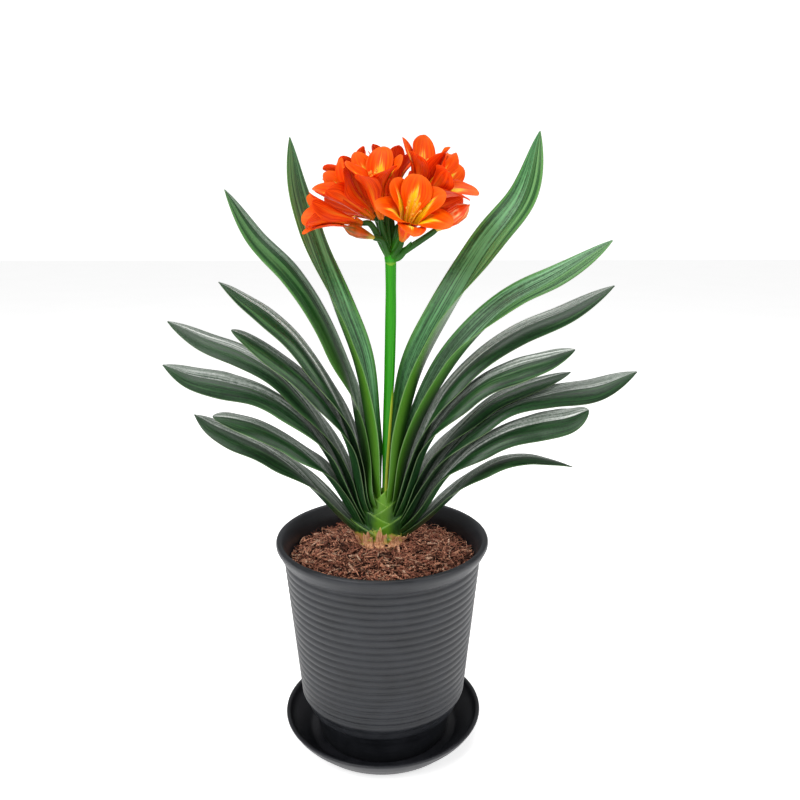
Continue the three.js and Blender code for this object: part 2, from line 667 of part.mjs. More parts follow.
// ---------------------------------------------------------------- blooms
function flowerAxes({ azimuth, elevation }) {
  const turn = radians(azimuth);
  const rise = radians(elevation);
  const axis = vec(
    Math.sin(turn) * Math.cos(rise),
    -Math.cos(turn) * Math.cos(rise),
    Math.sin(rise),
  );
  const right = vec(0, 0, 1).cross(axis).normalize();
  return { axis, right, upper: axis.clone().cross(right) };
}

// The space of a bloom ends halfway to each neighbour, as seen from the umbel's centre.
function cellWalls(bloom) {
  const centre = vec(...UMBEL_CENTRE);
  const heading = (other) => {
    const { axis } = flowerAxes(other);
    const middle = vec(...other.base).addScaledVector(axis, BLOOM_MIDDLE * other.length);
    return middle.sub(centre).normalize();
  };
  const own = heading(bloom);
  const others = BLOOMS.filter((other) => other !== bloom);
  return others.map((other) => heading(other).sub(own).normalize());
}

// How far a point stands beyond a wall of the cell, less a margin.
const beyond = (point, wall, margin) =>
  point.clone().sub(vec(...UMBEL_CENTRE)).dot(wall) + margin;

// Presses a point back from the walls it comes near, softly, so that none fold together.
function intoCell(point, walls, margin) {
  const moved = point.clone();
  for (const wall of walls) {
    const depth = beyond(moved, wall, margin) / CELL_SOFTNESS;
    moved.addScaledVector(wall, -CELL_SOFTNESS * Math.log1p(Math.exp(depth)));
  }
  return moved;
}

function tepalWidth(u) {
  const tip = u > TEPAL_TIP ? Math.sqrt(1 - ((u - TEPAL_TIP) / (1 - TEPAL_TIP)) ** 2) : 1;
  return Math.max(TEPAL_TIP_SHARE, keyed(TEPAL_WIDTH, u / TEPAL_FULL) * tip);
}

// A point of the bloom: ahead along the axis, out from it, and aside round it.
function bloomFrame(bloom, turn) {
  const { axis, right, upper } = flowerAxes(bloom);
  const outward = right.clone().multiplyScalar(Math.cos(turn));
  outward.addScaledVector(upper, Math.sin(turn));
  const sideways = axis.clone().cross(outward);
  const at = (ahead, out, aside) =>
    vec(...bloom.base)
      .addScaledVector(axis, ahead)
      .addScaledVector(outward, out)
      .addScaledVector(sideways, aside);
  return { axis, outward, at };
}

const tepalTurn = (bloom, number) => radians(bloom.spin + (360 / TEPAL_COUNT) * number);

// Middle surface of one tepal beyond the tube: rows of three points, base to tip. Odd
// tepals are the inner whorl.
function tepalRows(bloom, number, spread) {
  const isInner = number % 2 === 1;
  const { at } = bloomFrame(bloom, tepalTurn(bloom, number));
  const rows = [];
  let ahead = 0;
  let radius = TEPAL_START_RADIUS;
  for (let i = 0; i <= TEPAL_STEPS; i++) {
    const u = i / TEPAL_STEPS;
    const heading = radians(keyed(TEPAL_HEADING, u) * bloom.open * spread);
    const step = isInner ? 0 : OUTER_TEPAL_STEP * smooth(5 * u);
    const wrapPerWidth = (TEPAL_CUPPING * Math.cos(heading)) / (radius + step);
    const full = bloom.width * (isInner ? 1 : OUTER_TEPAL_SHARE) * tepalWidth(u);
    const width = Math.min(full, radians(keyed(TEPAL_MOST_CUPPING, u)) / wrapPerWidth);
    const cupping = Math.max(radians(TEPAL_LEAST_CUPPING), width * wrapPerWidth);
    const side = (width * Math.sin(cupping)) / cupping;
    const back = (width * (1 - Math.cos(cupping))) / cupping - step;
    const edge = [ahead + Math.sin(heading) * back, radius - Math.cos(heading) * back];
    const middle = [ahead - Math.sin(heading) * step, radius + Math.cos(heading) * step];
    rows.push([at(...edge, -side), at(...middle, 0), at(...edge, side)]);
    ahead += (Math.cos(heading) * bloom.length) / TEPAL_STEPS;
    radius += (Math.sin(heading) * bloom.length) / TEPAL_STEPS;
  }
  return TEPAL_ROWS.map((row) => rows[row]);
}

// A tepal that would lean on a neighbouring bloom is bent towards its own axis.
function bentTepals(bloom) {
  const walls = cellWalls(bloom);
  return Array.from({ length: TEPAL_COUNT }, (_, number) => {
    const margin = CELL_MARGIN + (number % 2) * WHORL_MARGIN;
    const into = (point) => walls.map((wall) => beyond(point, wall, margin));
    let rows = tepalRows(bloom, number, 1);
    for (let spread = 1 - SPREAD_STEP; spread > LEAST_SPREAD; spread -= SPREAD_STEP) {
      if (Math.max(...rows.flat().flatMap(into)) < CELL_PRESS) break;
      rows = tepalRows(bloom, number, spread);
    }
    return rows.map((row) => row.map((point) => intoCell(point, walls, margin)));
  });
}

// The tube with its floor and the six tepals, as one skin. A ring of twelve points ends
// the tube: each tepal stands on three of them and shares the outer two with its
// neighbours.
function makeBloom(bloom) {
  const spokes = 2 * TEPAL_COUNT;
  const half = TEPAL_THICKNESS / 2;
  const points = [];
  const faces = [];
  const quad = (a, b, c, d) => faces.push([a, b, c], [a, c, d]);
  const frames = Array.from({ length: spokes }, (_, j) =>
    bloomFrame(bloom, tepalTurn(bloom, j / 2)),
  );
  frames.forEach(({ at }) => points.push(at(TUBE_LENGTH, TUBE_RADIUS + half, 0)));
  frames.forEach(({ at }) => points.push(at(TUBE_LENGTH, TUBE_RADIUS - half, 0)));
  frames.forEach(({ at }) => points.push(at(0, TUBE_FOOT_RADIUS, 0)));
  for (let j = 0; j < spokes; j++) {
    const next = (j + 1) % spokes;
    quad(next, j, j + 2 * spokes, next + 2 * spokes);
    faces.push([2 * spokes, next + 2 * spokes, j + 2 * spokes]);
    faces.push([spokes, j + spokes, next + spokes]);
  }
  bentTepals(bloom).forEach((rows, number) => {
    const ring = [-1, 0, 1].map((shift) => (2 * number + shift + spokes) % spokes);
    const grid = [ring.map((j) => frames[j].at(TUBE_LENGTH, TUBE_RADIUS, 0)), ...rows];
    const outer = [ring];
    const inner = [ring.map((j) => j + spokes)];
    for (let i = 1; i < grid.length; i++) {
      outer.push([0, 1, 2].map((c) => points.length + c));
      inner.push([3, 4, 5].map((c) => points.length + c));
      const offsets = [0, 1, 2].map((c) => {
        const along = grid[Math.min(i + 1, grid.length - 1)][c].clone().sub(grid[i - 1][c]);
        const across = grid[i][Math.min(c + 1, 2)].clone().sub(grid[i][Math.max(c - 1, 0)]);
        return across.cross(along).setLength(half);
      });
      points.push(...grid[i].map((p, c) => p.clone().add(offsets[c])));
      points.push(...grid[i].map((p, c) => p.clone().sub(offsets[c])));
    }
    for (let i = 0; i + 1 < grid.length; i++) {
      for (const c of [0, 1]) {
        const [a, b] = [outer[i], outer[i + 1]];
        const [d, e] = [inner[i], inner[i + 1]];
        faces.push([a[c], a[c + 1], b[c + 1]], [a[c], b[c + 1], b[c]]);
        faces.push([d[c], e[c + 1], d[c + 1]], [d[c], e[c], e[c + 1]]);
      }
      quad(outer[i][0], outer[i + 1][0], inner[i + 1][0], inner[i][0]);
      quad(outer[i][2], inner[i][2], inner[i + 1][2], outer[i + 1][2]);
    }
    const [last, lastInner] = [outer.at(-1), inner.at(-1)];
    for (const c of [0, 1]) quad(last[c], last[c + 1], lastInner[c + 1], lastInner[c]);
  });
  return facesToSolid(points, faces);
}

// Six filaments with anthers and the style, on a small disc at the bottom of the throat.
function makeStamens(bloom) {
  const { axis } = flowerAxes(bloom);
  const onAxis = (ahead) => vec(...bloom.base).addScaledVector(axis, ahead);
  const line = (points, radii, sides) => stem(points.map((p) => p.toArray()), radii, sides);
  const low = TUBE_LENGTH + GAP;
  const { radius, height } = STAMEN_DISC;
  let whole = line([onAxis(low), onAxis(low + height)], [radius, radius], 6);
  const style = [onAxis(low + height / 2), onAxis(STYLE_LENGTH * bloom.length)];
  whole = whole.add(line(style, FILAMENT_RADII, 3));
  for (const rows of bentTepals(bloom)) {
    const path = rows.slice(1, 4).map(([, middle]) => {
      const ahead = middle.clone().sub(onAxis(0)).dot(axis);
      return onAxis(ahead).lerp(middle, FILAMENT_SPREAD);
    });
    path.unshift(onAxis(low + height / 2).lerp(path[0], 0.1));
    whole = whole.add(line(path, FILAMENT_RADII, 3));
  }
  return whole;
}

function makeBud(bud) {
  const { axis } = flowerAxes(bud);
  const foot = vec(...bud.base);
  const tip = foot.clone().addScaledVector(axis, bud.length);
  const radii = BUD_RADII.map((radius) => radius * bud.girth);
  return stem([foot.toArray(), tip.toArray()], radii, 7);
}

// ---------------------------------------------------------------- assembly
const group = new THREE.Group();
group.name = "potted_clivia";

function addGroup(parent, name) {
  const child = new THREE.Group();
  child.name = name;
  parent.add(child);
  return child;
}

function addNode(parent, name, solid, colour) {
  const [color, roughness] = COLOURS[colour];
  const material = new THREE.MeshStandardMaterial({ color, roughness, flatShading: true });
  material.name = colour;
  const mesh = new THREE.Mesh(toGeometry(solid), material);
  mesh.name = name;
  parent.add(mesh);
}

const container = addGroup(group, "container");
addNode(container, "saucer", makeSaucer(), "saucer");
addNode(container, "pot", makePot(), "pot");
addNode(container, "soil", makeSoil(), "soil");

const foliage = addGroup(group, "foliage");
const crown = largestPiece(makeSheaths(0).subtract(makeSocket()));
const scapeRoom = stem(SCAPE_LINE, SCAPE_RADII, SCAPE_SIDES, SCAPE_DEPTH, GAP);
const heart = makeSheaths(GAP).add(scapeRoom).add(makeMound());
addNode(foliage, "crown", crown, "crown");
for (const [name, leaf] of makeLeaves()) {
  addNode(foliage, name, largestPiece(leaf.subtract(heart)), "leaf");
}

const inflorescence = addGroup(group, "inflorescence");
addNode(inflorescence, "scape", makeScape(), "scape");
BLOOMS.forEach((bloom, i) => {
  addNode(inflorescence, `bloom_${i + 1}`, makeBloom(bloom), "bloom");
  if (!bloom.stamens) return;
  addNode(inflorescence, `bloom_${i + 1}_stamens`, makeStamens(bloom), "stamens");
});
for (const [name, bud] of Object.entries(BUDS)) {
  addNode(inflorescence, name, makeBud(bud), "bud");
}

export default group;
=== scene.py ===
"""Looks of a potted clivia: strap leaves, an umbel of orange blooms, bark soil, a ribbed pot.

Every length is in millimetres until a mesh is made, when it becomes metres. The origin is
the centre of the saucer's underside, the leaf fan lies along X and -Y is the front.
"""

import bpy
import numpy as np
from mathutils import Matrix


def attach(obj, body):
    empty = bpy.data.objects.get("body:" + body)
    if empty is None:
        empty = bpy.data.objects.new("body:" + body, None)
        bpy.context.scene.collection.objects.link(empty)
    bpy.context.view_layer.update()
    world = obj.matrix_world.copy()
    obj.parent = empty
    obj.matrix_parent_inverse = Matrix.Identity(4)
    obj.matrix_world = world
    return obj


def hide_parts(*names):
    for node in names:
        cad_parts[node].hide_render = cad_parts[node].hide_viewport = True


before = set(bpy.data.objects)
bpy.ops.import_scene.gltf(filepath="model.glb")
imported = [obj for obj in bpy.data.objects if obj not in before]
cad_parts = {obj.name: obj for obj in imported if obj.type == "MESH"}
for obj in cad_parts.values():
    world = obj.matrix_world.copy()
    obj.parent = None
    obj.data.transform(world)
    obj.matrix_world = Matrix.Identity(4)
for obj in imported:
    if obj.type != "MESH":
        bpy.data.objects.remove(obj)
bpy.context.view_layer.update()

# ---- driving dimensions
MM = 0.001  # metres in a millimetre
SEED = 7
CORNERS = ((-1, -1), (1, -1), (1, 1), (-1, 1))

# Saucer and pot, as profiles of radius and height
TURN_SIDES = 192  # facets round the pot and the saucer
SAUCER_PROFILE = [
    (0, 0), (60, 0), (82, 0), (84.6, 0.5), (87, 2.5), (91, 6.5), (98.5, 14), (101.5, 17.6),
    (103.5, 21), (104.9, 23), (105.5, 24.4), (105.3, 25.4), (104.7, 25.9), (103.9, 26),
    (102.6, 25.8), (101.5, 25), (100.6, 22.8), (99.5, 20), (97.4, 17), (94.5, 15),
    (88, 9.6), (82, 5), (80, 3.4), (78, 2.6), (74, 2.6), (60, 2.6), (0, 2.6),
]
POT_FOOT = [
    (0, 2.95), (40, 2.95), (69, 2.95), (70, 3.8), (72.6, 20), (75.5, 35.4), (76.2, 36.6),
    (80, 37.6), (81, 38.2), (81.6, 39.6), (81.9, 44), (82.4, 45.6), (84.6, 47.2),
]
RIBBED_HEIGHTS = (50, 204)
RIBBED_RADII = (86, 101)
RIB_COUNT = 20
RIB_HEIGHT = 1.3
RIB_POWER = 0.7  # below 1 makes the crests flat
RIB_STEPS = 7  # heights in one rib
POT_RIM = [
    (101, 204), (101.6, 205.6), (104, 208), (105.8, 210.4), (107, 213), (108.7, 216),
    (109.8, 218.4), (110, 220), (109.9, 221.6), (109.4, 222.9), (108.4, 223.7),
    (107, 224), (105.4, 223.7), (104, 222.6), (102.6, 220), (99.3, 213), (97.9, 206),
    (97.4, 196), (90, 120), (82.8, 54), (72, 40), (66.8, 8), (0, 8),
]

# Soil: a dark bed under loose chips, and coir strands that are longer and thinner
SOIL_RADIUS = 96.6
SOIL_EDGE_HEIGHT = 200
SOIL_CROWN_HEIGHT = 216
MOUND_RADIUS = 92
LUMP_HEIGHT = 0.72
LUMP_SIZES = (7.1, 6.3, 4.4)
LUMP_SHIFTS = (1.3, -0.4)
BED_RINGS = 60
BED_SIDES = 120
BED_SINK = 1.6  # how far the bed lies below the level of the chips
BED_DEPTH = 12
# the bed takes nearly the darkest bark shade: the soil's own dark colour, and painted shade in
# the gaps between the chips
BED_TONE = 0.02
CHIP_COUNT = 4600
CHIP_PLACES = (17, 95.1)  # nearest and furthest from the pot's axis
CHIP_REACH = 96.3  # no corner goes further out
CHIP_LENGTH = (3.5, 14)
CHIP_RARITY = 1.6  # above 1 makes long chips rarer
CHIP_WIDTH = (0.8, 3.0)
CHIP_SHORT_WIDTH = 0.6  # share of its width that a short chip has
CHIP_LIFT = (-2.0, 1.9)
CHIP_TILT = 0.28  # radians, as the twist
CHIP_TWIST = 0.8
CHIP_BOW = (-0.12, 0.18)  # shares of the length
CHIP_STATIONS = (-0.5, -0.25, 0.0, 0.25, 0.5)
CHIP_NARROWING = 0.84
CHIP_NARROWING_POWER = 1.5
CHIP_RAGGED = (0.75, 1.2)
CHIP_THICKNESS = (0.22, 0.4)  # shares of the width
STRAND_COUNT = 700
STRAND_LENGTH = (12, 28)
STRAND_WIDTH = (0.5, 0.9)
STRAND_LIFT = (0.6, 2.4)
STRAND_SWING = 0.22
BARK_SHADES = [(56, 28, 20), (188, 120, 96), (240, 172, 138), (244, 200, 170)]

# Crown
CROWN_X = -1
CROWN_FOOT = 190
CROWN_FOOT_RADIUS = 22.5
CROWN_SIDES = 288
CROWN_ROWS = 250
CROWN_CORE_RADIUS = 6
CROWN_CORE_DEPTH = 20  # the depth below an edge that is written for bare core
CROWN_TOP_PASSES = 30
CAP_SHARE = 0.2
CAP_DEPTH = 6
SHEATH_COUNT = 6
SHEATH_TOP = 271
SHEATH_STEP = 8.4
SHEATH_SLANT = 0.74
SHEATH_SLANT_STEP = 0.07
SHEATH_LIP = 1.3  # an edge thins over this depth
SHEATH_LIP_THICKNESS = 0.7
SHEATH_OWN_STEP = 0.37
# Half widths of the innermost sheath, and what each next one adds, at three levels: just
# above the soil, then SHEATH_BELOW and SHEATH_ABOVE from the middle of its own edge
SHEATH_ACROSS = [(14.4, 1.65), (12, 2.8), (9.5, 5.4)]
SHEATH_DEEP = [(14, 1.7), (11.6, 1.65), (8.5, 2.5)]
SHEATH_POWER = [2, 2, 1.67, 1.33]  # 2 is an oval and 1 a diamond, from the foot up
SHEATH_OFF_SOIL = 3
SHEATH_BELOW = 8
SHEATH_ABOVE = 24

# Papery scales round the foot of the crown
SCALE_COUNT = 13
SCALE_ROWS = 14
SCALE_COLUMNS = 17
SCALE_FRONT = (-1.58, 0.34, 24)  # place and half width in radians, and height
SCALE_HALF = (0.3, 0.62)
SCALE_HEIGHT = (9, 18)
SCALE_TURNS = (1 / 16, 1 / 248)  # turns to the next scale, and what each one adds
SCALE_SINK = 6
SCALE_ROUND = 0.5  # share of its height that a scale loses at its sides
SCALE_ROUND_POWER = 1.6
SCALE_TEARS = 6
SCALE_TEAR = (-0.28, 0.22)
SCALE_FRAY = 0.05
SCALE_NARROWING = 0.25
SCALE_STAND_OFF = 0.7
SCALE_FLARE = 1.6
SCALE_FLARE_SHARES = (0.3, 1.0)
SCALE_CRIMP = 0.25
SCALE_CRIMPS = 9  # radians of crimp over half a scale
SCALE_LAYERS = 5
SCALE_LAYER_STEP = 0.06
SCALE_THICKNESS = 0.45

# Leaves
LEAF_ROWS = 11
LEAF_PROFILE_STEPS = 8
LEAF_MIDRIB_THICKNESS = 2.0
LEAF_MARGIN_THICKNESS = 0.5
LEAF_FLARE = [0.52, 0.78, 1, 1, 1]
LEAF_TIP_HALF_WIDTH = 1.4  # of the coarse rows; the fine blades end in a point
LEAF_FINE_TIP = 0.9
LEAF_CLEAR = 3  # height that a leaf keeps over its neighbour
LEAF_PASSES = 5
LEAF_BESIDE = 2  # how far beside a face a point still counts as over it
LEAF_FINE_ROWS = 120
LEAF_FINE_HALF = 13  # columns of a half leaf
LEAF_TIP_THICKNESS = 0.25  # share of the thickness at the very tip
LEAF_THICKENING = 12
LEAF_MARGIN_POWER = 1.5
LEAF_OWN_STEP = 0.618

# Scape and umbel. Each stem has a line, radii along it, rows, sides, its depth as a share
# of its width, and its kind, which the look reads: stalk, head, bract and stalklet
HUB = (9.5, 0, 508)
STALK = (
    [(3, -3, 238), (3, -3, 276), (4.9, -4, 330), (8, -2, 399), (9.4, -1, 460), HUB],
    [3.4, 3, 3, 4.1, 4.8, 5.4, 5.5, 5.1, 5.4], 160, 40, 0.8, 0.1)
HEAD = ([(9.5, 0, 501), HUB, (9.5, 0, 514)], [4.4, 5.6, 6.2, 6.0, 3.6], 20, 32, 1.0, 0.3)
BRACT = ([HUB, (18, -7, 510), (29, -9, 524)], [2.6, 3.5, 3.0, 0.5], 24, 20, 0.4, 0.55)
STALKLET = ([4.4, 3.8, 3.2, 2.9, 2.8, 2.4], 26, 16, 1.0, 0.7)
STALKLET_SINK = 0.2  # how far it goes into its flower
STALKLET_BEND = 9
STALKLET_LOW = 0.4
UMBEL_CENTRE = (9, 0, 526)

# Blooms
TEPAL_COUNT = 6
TEPAL_STEPS = 20
TEPAL_ROWS = [3, 7, 12, 17, 20]
TEPAL_FINE_ROWS = 44
TEPAL_FINE_HALF = 8
TEPAL_FINE_TIP = 0.1
TEPAL_WAVE = 0.7
TEPAL_WAVE_COUNT = 2.3
TEPAL_WAVE_SHIFT = 0.31  # turns from one tepal's waves to the next one's
TEPAL_WAVE_SLANT = 0.2
TEPAL_KEEL = 0.35  # height of the middle ridge, as a share of the waves
TEPAL_KEEL_WIDTH = 0.13
TEPAL_THICKNESS = 0.55
TEPAL_THICK_ACROSS = (1.3, 0.5)  # shares at the middle and the margin
TEPAL_THICK_ALONG = (1.15, 0.65)  # shares at the foot and the tip
TEPAL_OWN_STEPS = (0.17, 0.29)  # for each tepal and for each bloom
TEPAL_START_RADIUS = 2.8
OUTER_TEPAL_STEP = 2.2  # how far the outer whorl stands outside the inner one
OUTER_TEPAL_SHARE = 0.82
TEPAL_HEADING = [12, 9, 15, 34, 52, 60]  # degrees from the axis, foot to tip, as below
TEPAL_CUPPING = 0.95
TEPAL_LEAST_CUPPING = 14
TEPAL_MOST_CUPPING = [27, 27, 46, 55, 55, 55]
TEPAL_WIDTH = [0.3, 0.44, 0.8, 1, 1]
TEPAL_FULL = 0.8
TEPAL_TIP = 0.72
TEPAL_TIP_SHARE = 0.3  # used only to see how crowded a tepal is
TUBE_PROFILE = [(0.2, -0.3), (2.2, 0), (2.7, 1.5), (3.2, 3), (3.7, 4.5), (4.1, 6), (3.6, 7.5)]
TUBE_LENGTH = 6
TUBE_SIDES = 24
TUBE_PLACE = (1, 0.02, 0.3)  # the place on a tepal whose look it takes
BLOOM_MIDDLE = 0.7  # share of the length at which neighbours are told apart
CELL_MARGIN = 0.95
WHORL_MARGIN = 1.3  # more for the inner whorl, so that it stays inside the outer one
CELL_PRESS = 5  # how far a tepal may reach past a wall before it spreads less
CELL_SOFTNESS = 1.5
SPREAD_STEP = 0.1
LEAST_SPREAD = 0.2
STYLE_SHARES = (0.4, 0.7)  # of the bloom's length, at its middle and its end
STYLE_LEAN = 0.6
STYLE_RADII = [0.7, 0.55, 0.5, 0.6, 0.9]
STYLE_GRID = (26, 10)  # rows and sides, as below
FILAMENT_SPREAD = 0.32
FILAMENT_SHARES = (0.35, 0.6, 0.74)
FILAMENT_RADII = [0.62, 0.5, 0.45, 0.4]
FILAMENT_GRID = (22, 10)
ANTHER_HALF = 2.1
ANTHER_LEAN = 1.2
ANTHER_RADII = [0.2, 0.75, 0.95, 0.95, 0.75, 0.2]
ANTHER_GRID = (16, 12)
BUD_ROWS = 44
BUD_SIDES = 48
BUD_RADII = [1.4, 3.6, 5.2, 4.8, 0.8]
BUD_CLOSING = 0.75  # share of its radius that a bud loses at the very tip
BUD_SEAMS = (0.93, 1.03)  # shares of the radius in a seam and between seams
BUD_LOBES = 1.5  # half of its three lobes
BUD_TWIST = 1.4

# Shader settings: how far light goes in the living parts, in metres, and the floor's glow
THIN_SCATTER = {"Subsurface Scale": 0.002}
PETAL_SCATTER = THIN_SCATTER | {"Subsurface Radius": (1.0, 0.35, 0.1)}
STEM_SCATTER = {"Subsurface Scale": 0.003}
FLOOR_GLOW = {"Emission Color": (1, 1, 1, 1), "Emission Strength": 0.6}

# Floor, lights with their place and size in metres and their power in watts, and camera
FLOOR_HALF = 9000
LAMPS = [
    ("key", (-1.2, -1.3, 1.8), 1.2, 31),
    ("fill", (1.6, -0.9, 1.2), 1.0, 11),
    ("top", (0.1, 0.5, 2.3), 1.6, 24),
]
LAMP_AIM = (0, 0, 0.3)
WORLD_LIGHT = 0.36
WORLD_SEEN = 1.2
CAMERA_PLACE = (0, -0.760, 0.549)
CAMERA_PITCH = 13.4  # degrees below level
CAMERA_YAW = 1.39  # degrees towards +X
CAMERA_LENS = 35.06

# ---- leaves and flowers
# Slopes of a half leaf in degrees, at the midrib (fold) and at the margin (droop), from the
# foot to the tip. roll turns the blade to the front.
FIRST = {"fold": [34, 44, 42, 12, 2], "droop": [44, 50, 42, 2, -4]}
SECOND = {"fold": [38, 46, 14, 2, 0], "droop": [48, 44, -40, -40, -14]}
UPRIGHT = {"fold": [36, 46, 50, 26, 2], "droop": [46, 54, 52, 18, -4]}
ARCHING = {"fold": [42, 44, 28, 16, 6], "droop": [54, 24, -50, -40, -14]}

# From the innermost leaf to the lowest. upright: 1 gives it the inner leaves' colours
LEAF_KEYS = ("width", "upright", "tip_power", "taper", "slopes", "roll", "points")
LEAF_TABLE = {
    "left": [
        (22, 1, 0.75, 0.24, FIRST, [0, 8, 26, 26, 24],
         [(-7, 0, 244), (-11.5, -1, 292), (-15.5, -4, 343), (-25.5, -6, 404),
          (-45.5, 2, 461), (-65.5, 14, 520), (-80, 23, 571), (-86.5, 26, 621)]),
        (20, 0.4, 0.75, 0.26, SECOND, [0, 4, 22, 28, 28],
         [(-6, 0, 238), (-17, 2, 290), (-25.5, 5, 340), (-35.5, 9, 394),
          (-57.5, 13, 449), (-86, 17, 495), (-122, 21, 531.5), (-151, 26, 572.5)]),
        (20, 0, 0.8, 0.36, ARCHING, [0, 6, 16, 20, 22],
         [(-9, 0, 234), (-21, -1, 285), (-35, -3, 337), (-57, -5, 388),
          (-82.5, -8, 428.5), (-108, -10, 454.5), (-132, -13, 472), (-153, -16, 487)]),
        (20, 0, 0.6, 0.3, ARCHING, [0, 6, 14, 14, 16],
         [(-11, 0, 231), (-25, -3, 274), (-34, -7, 320), (-53, -11, 363),
          (-77, -16, 394), (-100, -22, 415.5), (-121, -28, 432), (-140, -34, 444)]),
        (20, 0, 0.75, 0.27, ARCHING, [0, 6, 14, 26, 30],
         [(-13, 0, 227), (-31, 3, 270), (-50, 7, 313), (-75, 12, 355),
          (-106, 17, 390), (-143, 23, 412.5), (-181, 29, 426), (-217.5, 36, 443)]),
        (21, 0, 0.8, 0.3, ARCHING, [0, 6, 16, 32, 34],
         [(-15, 0, 222), (-36, -1, 263), (-56, -2, 310), (-83, -4, 349.5),
          (-118, -6, 376), (-154, -8, 388), (-186, -10, 395.5), (-212, -12, 407)]),
        (19, 0, 0.6, 0.3, ARCHING, [0, 4, 10, 14, 20],
         [(-17, 0, 217), (-34, -3, 254), (-54, -7, 288), (-76.5, -13, 314.5),
          (-99, -18, 333.5), (-121, -25, 348), (-142, -31, 356.5), (-161, -38, 362)]),
        (21, 0, 0.85, 0.36, ARCHING, [0, 6, 14, 24, 30],
         [(-17, 0, 217), (-43, 2, 241), (-68, 4, 268.5), (-94, 7, 295),
          (-123, 10, 315), (-150, 13, 328), (-173, 16, 338), (-192.5, 20, 349)]),
    ],
    "right": [
        (24.5, 1, 0.75, 0.25, UPRIGHT, [0, 8, 26, 36, 40],
         [(9.5, 0, 242), (18, 1, 292), (25, 3, 341), (40.5, 5, 398),
          (70, 8, 456), (102.5, 10, 511), (138, 13, 563), (152, 16, 626)]),
        (20, 0.8, 0.7, 0.22, UPRIGHT, [0, 6, 18, 26, 28],
         [(12, 0, 236), (22, 3, 289), (37, 3, 337), (59, 1, 382),
          (86, -6, 424), (121, -17, 462), (166, -21, 489.5), (215.5, -26, 525.5)]),
        (20.5, 0, 0.75, 0.25, ARCHING, [0, 6, 16, 24, 28],
         [(13.5, 0, 232), (28, -2, 282), (43, -3, 327), (63, -1, 372),
          (95, 5, 407), (138, 17, 434), (189, 21, 455), (235.5, 26, 479)]),
        (21, 0, 0.7, 0.32, ARCHING, [0, 6, 16, 26, 28],
         [(15, 0, 230), (32, -2, 274), (46, -5, 319), (71, -8, 359),
          (100, -12, 387), (132, -15, 403), (161.5, -20, 413), (186.5, -24, 422.5)]),
        (19, 0, 0.7, 0.36, ARCHING, [0, 4, 8, 12, 14],
         [(16, 0, 225), (35, 3, 267), (56, 7, 304), (84, 13, 336),
          (114, 18, 361), (143, 25, 374), (172, 31, 382), (198.5, 38, 388)]),
        (21, 0, 0.75, 0.24, ARCHING, [0, 6, 14, 28, 32],
         [(17, -1, 223), (38, 0, 261), (62, 2, 298), (92, 3, 334),
          (127, 4, 362), (170, 5, 374), (217, 7, 378), (258.5, 8, 394)]),
        (21, 0, 0.55, 0.26, ARCHING, [0, 6, 18, 30, 34],
         [(17, 0, 219), (43, -2, 249), (64, -6, 285), (91, -10, 315),
          (123.5, -14, 336), (155, -19, 347), (182, -25, 354), (201.5, -30, 364)]),
        (17, 0, 0.85, 0.36, ARCHING, [0, 4, 6, 0, -4],
         [(17, 0, 216), (46, 1, 238), (72, 3, 262.5), (97, 5, 286),
          (123, 7, 300), (150, 9, 304), (176, 11, 299), (201, 14, 291)]),
    ],
}
LEAVES = {
    f"leaf_{name}_{number}": dict(zip(LEAF_KEYS, row), side=side)
    for side, (name, rows) in zip((-1, 1), LEAF_TABLE.items())
    for number, row in enumerate(rows, start=1)
}

# base: foot of the tube. azimuth: 0 faces the front, 90 the right. spin turns the tepals
# about the axis. open scales how far they spread. stamens: an open mouth.
BLOOM_KEYS = ("base", "azimuth", "elevation", "spin", "open", "length", "width", "stamens")
BLOOMS = [dict(zip(BLOOM_KEYS, row)) for row in [
    ((20, -19, 526), 18, 44, 12, 1.3, 66, 16, True),
    ((-17, -10, 541), -76, 12, 20, 0.6, 58, 12, True),
    ((-6, -1, 546), -66, 34, 30, 0.85, 64, 13, True),
    ((0, -7, 545), -14, 62, 20, 0.8, 66, 14, True),
    ((7, 6, 549), 150, 80, 10, 0.7, 66, 12, False),
    ((26, 3, 555), 45, 55, 12, 1.2, 70, 14, True),
    ((32, -8, 553), 62, 42, 10, 1.1, 64, 14, True),
    ((24, 9, 540), 104, 26, 0, 0.6, 60, 11, False),
    ((-7, 8, 550), -95, 60, 0, 0.9, 64, 13, False),
    ((4, 17, 545), -125, 22, 0, 0.9, 64, 13, True),
    ((20, 16, 540), 140, 34, 0, 0.9, 62, 13, False),
]]
BUDS = {
    "bud_left": dict(base=(-6, -13, 527.5), azimuth=-65, elevation=18, length=33, girth=1.1),
    "bud_right": dict(base=(52, -12, 535), azimuth=68, elevation=35, length=40, girth=1.6),
}

rng = np.random.default_rng(SEED)


# ---- number helpers
def smooth(t):
    t = np.clip(t, 0, 1)
    return t * t * (3 - 2 * t)


def keyed(values, t):
    """Eases from one evenly spaced value to the next as t runs from 0 to 1."""
    values = np.asarray(values, float)
    at = np.clip(np.asarray(t, float), 0, 1) * (len(values) - 1)
    i = np.minimum(len(values) - 2, np.floor(at).astype(int))
    return values[i] + (values[i + 1] - values[i]) * smooth(at - i)


def straight(values, t):
    """Runs straight from one evenly spaced value to the next as t runs from 0 to 1."""
    return np.interp(t, np.linspace(0, 1, len(values)), values)


def between(limits, share):
    return limits[0] + (limits[1] - limits[0]) * share


def dot(a, b):
    return (a * b).sum(axis=-1)


def unit(v):
    return v / np.maximum(1e-12, np.linalg.norm(v, axis=-1, keepdims=True))


def turns(count):
    """Angles of evenly spaced places round a ring."""
    return 2 * np.pi * np.arange(count) / count


def triples(a, b, c):
    """Vectors from three arrays, or single numbers, that fit one grid."""
    return np.stack(np.broadcast_arrays(a, b, c), axis=-1)


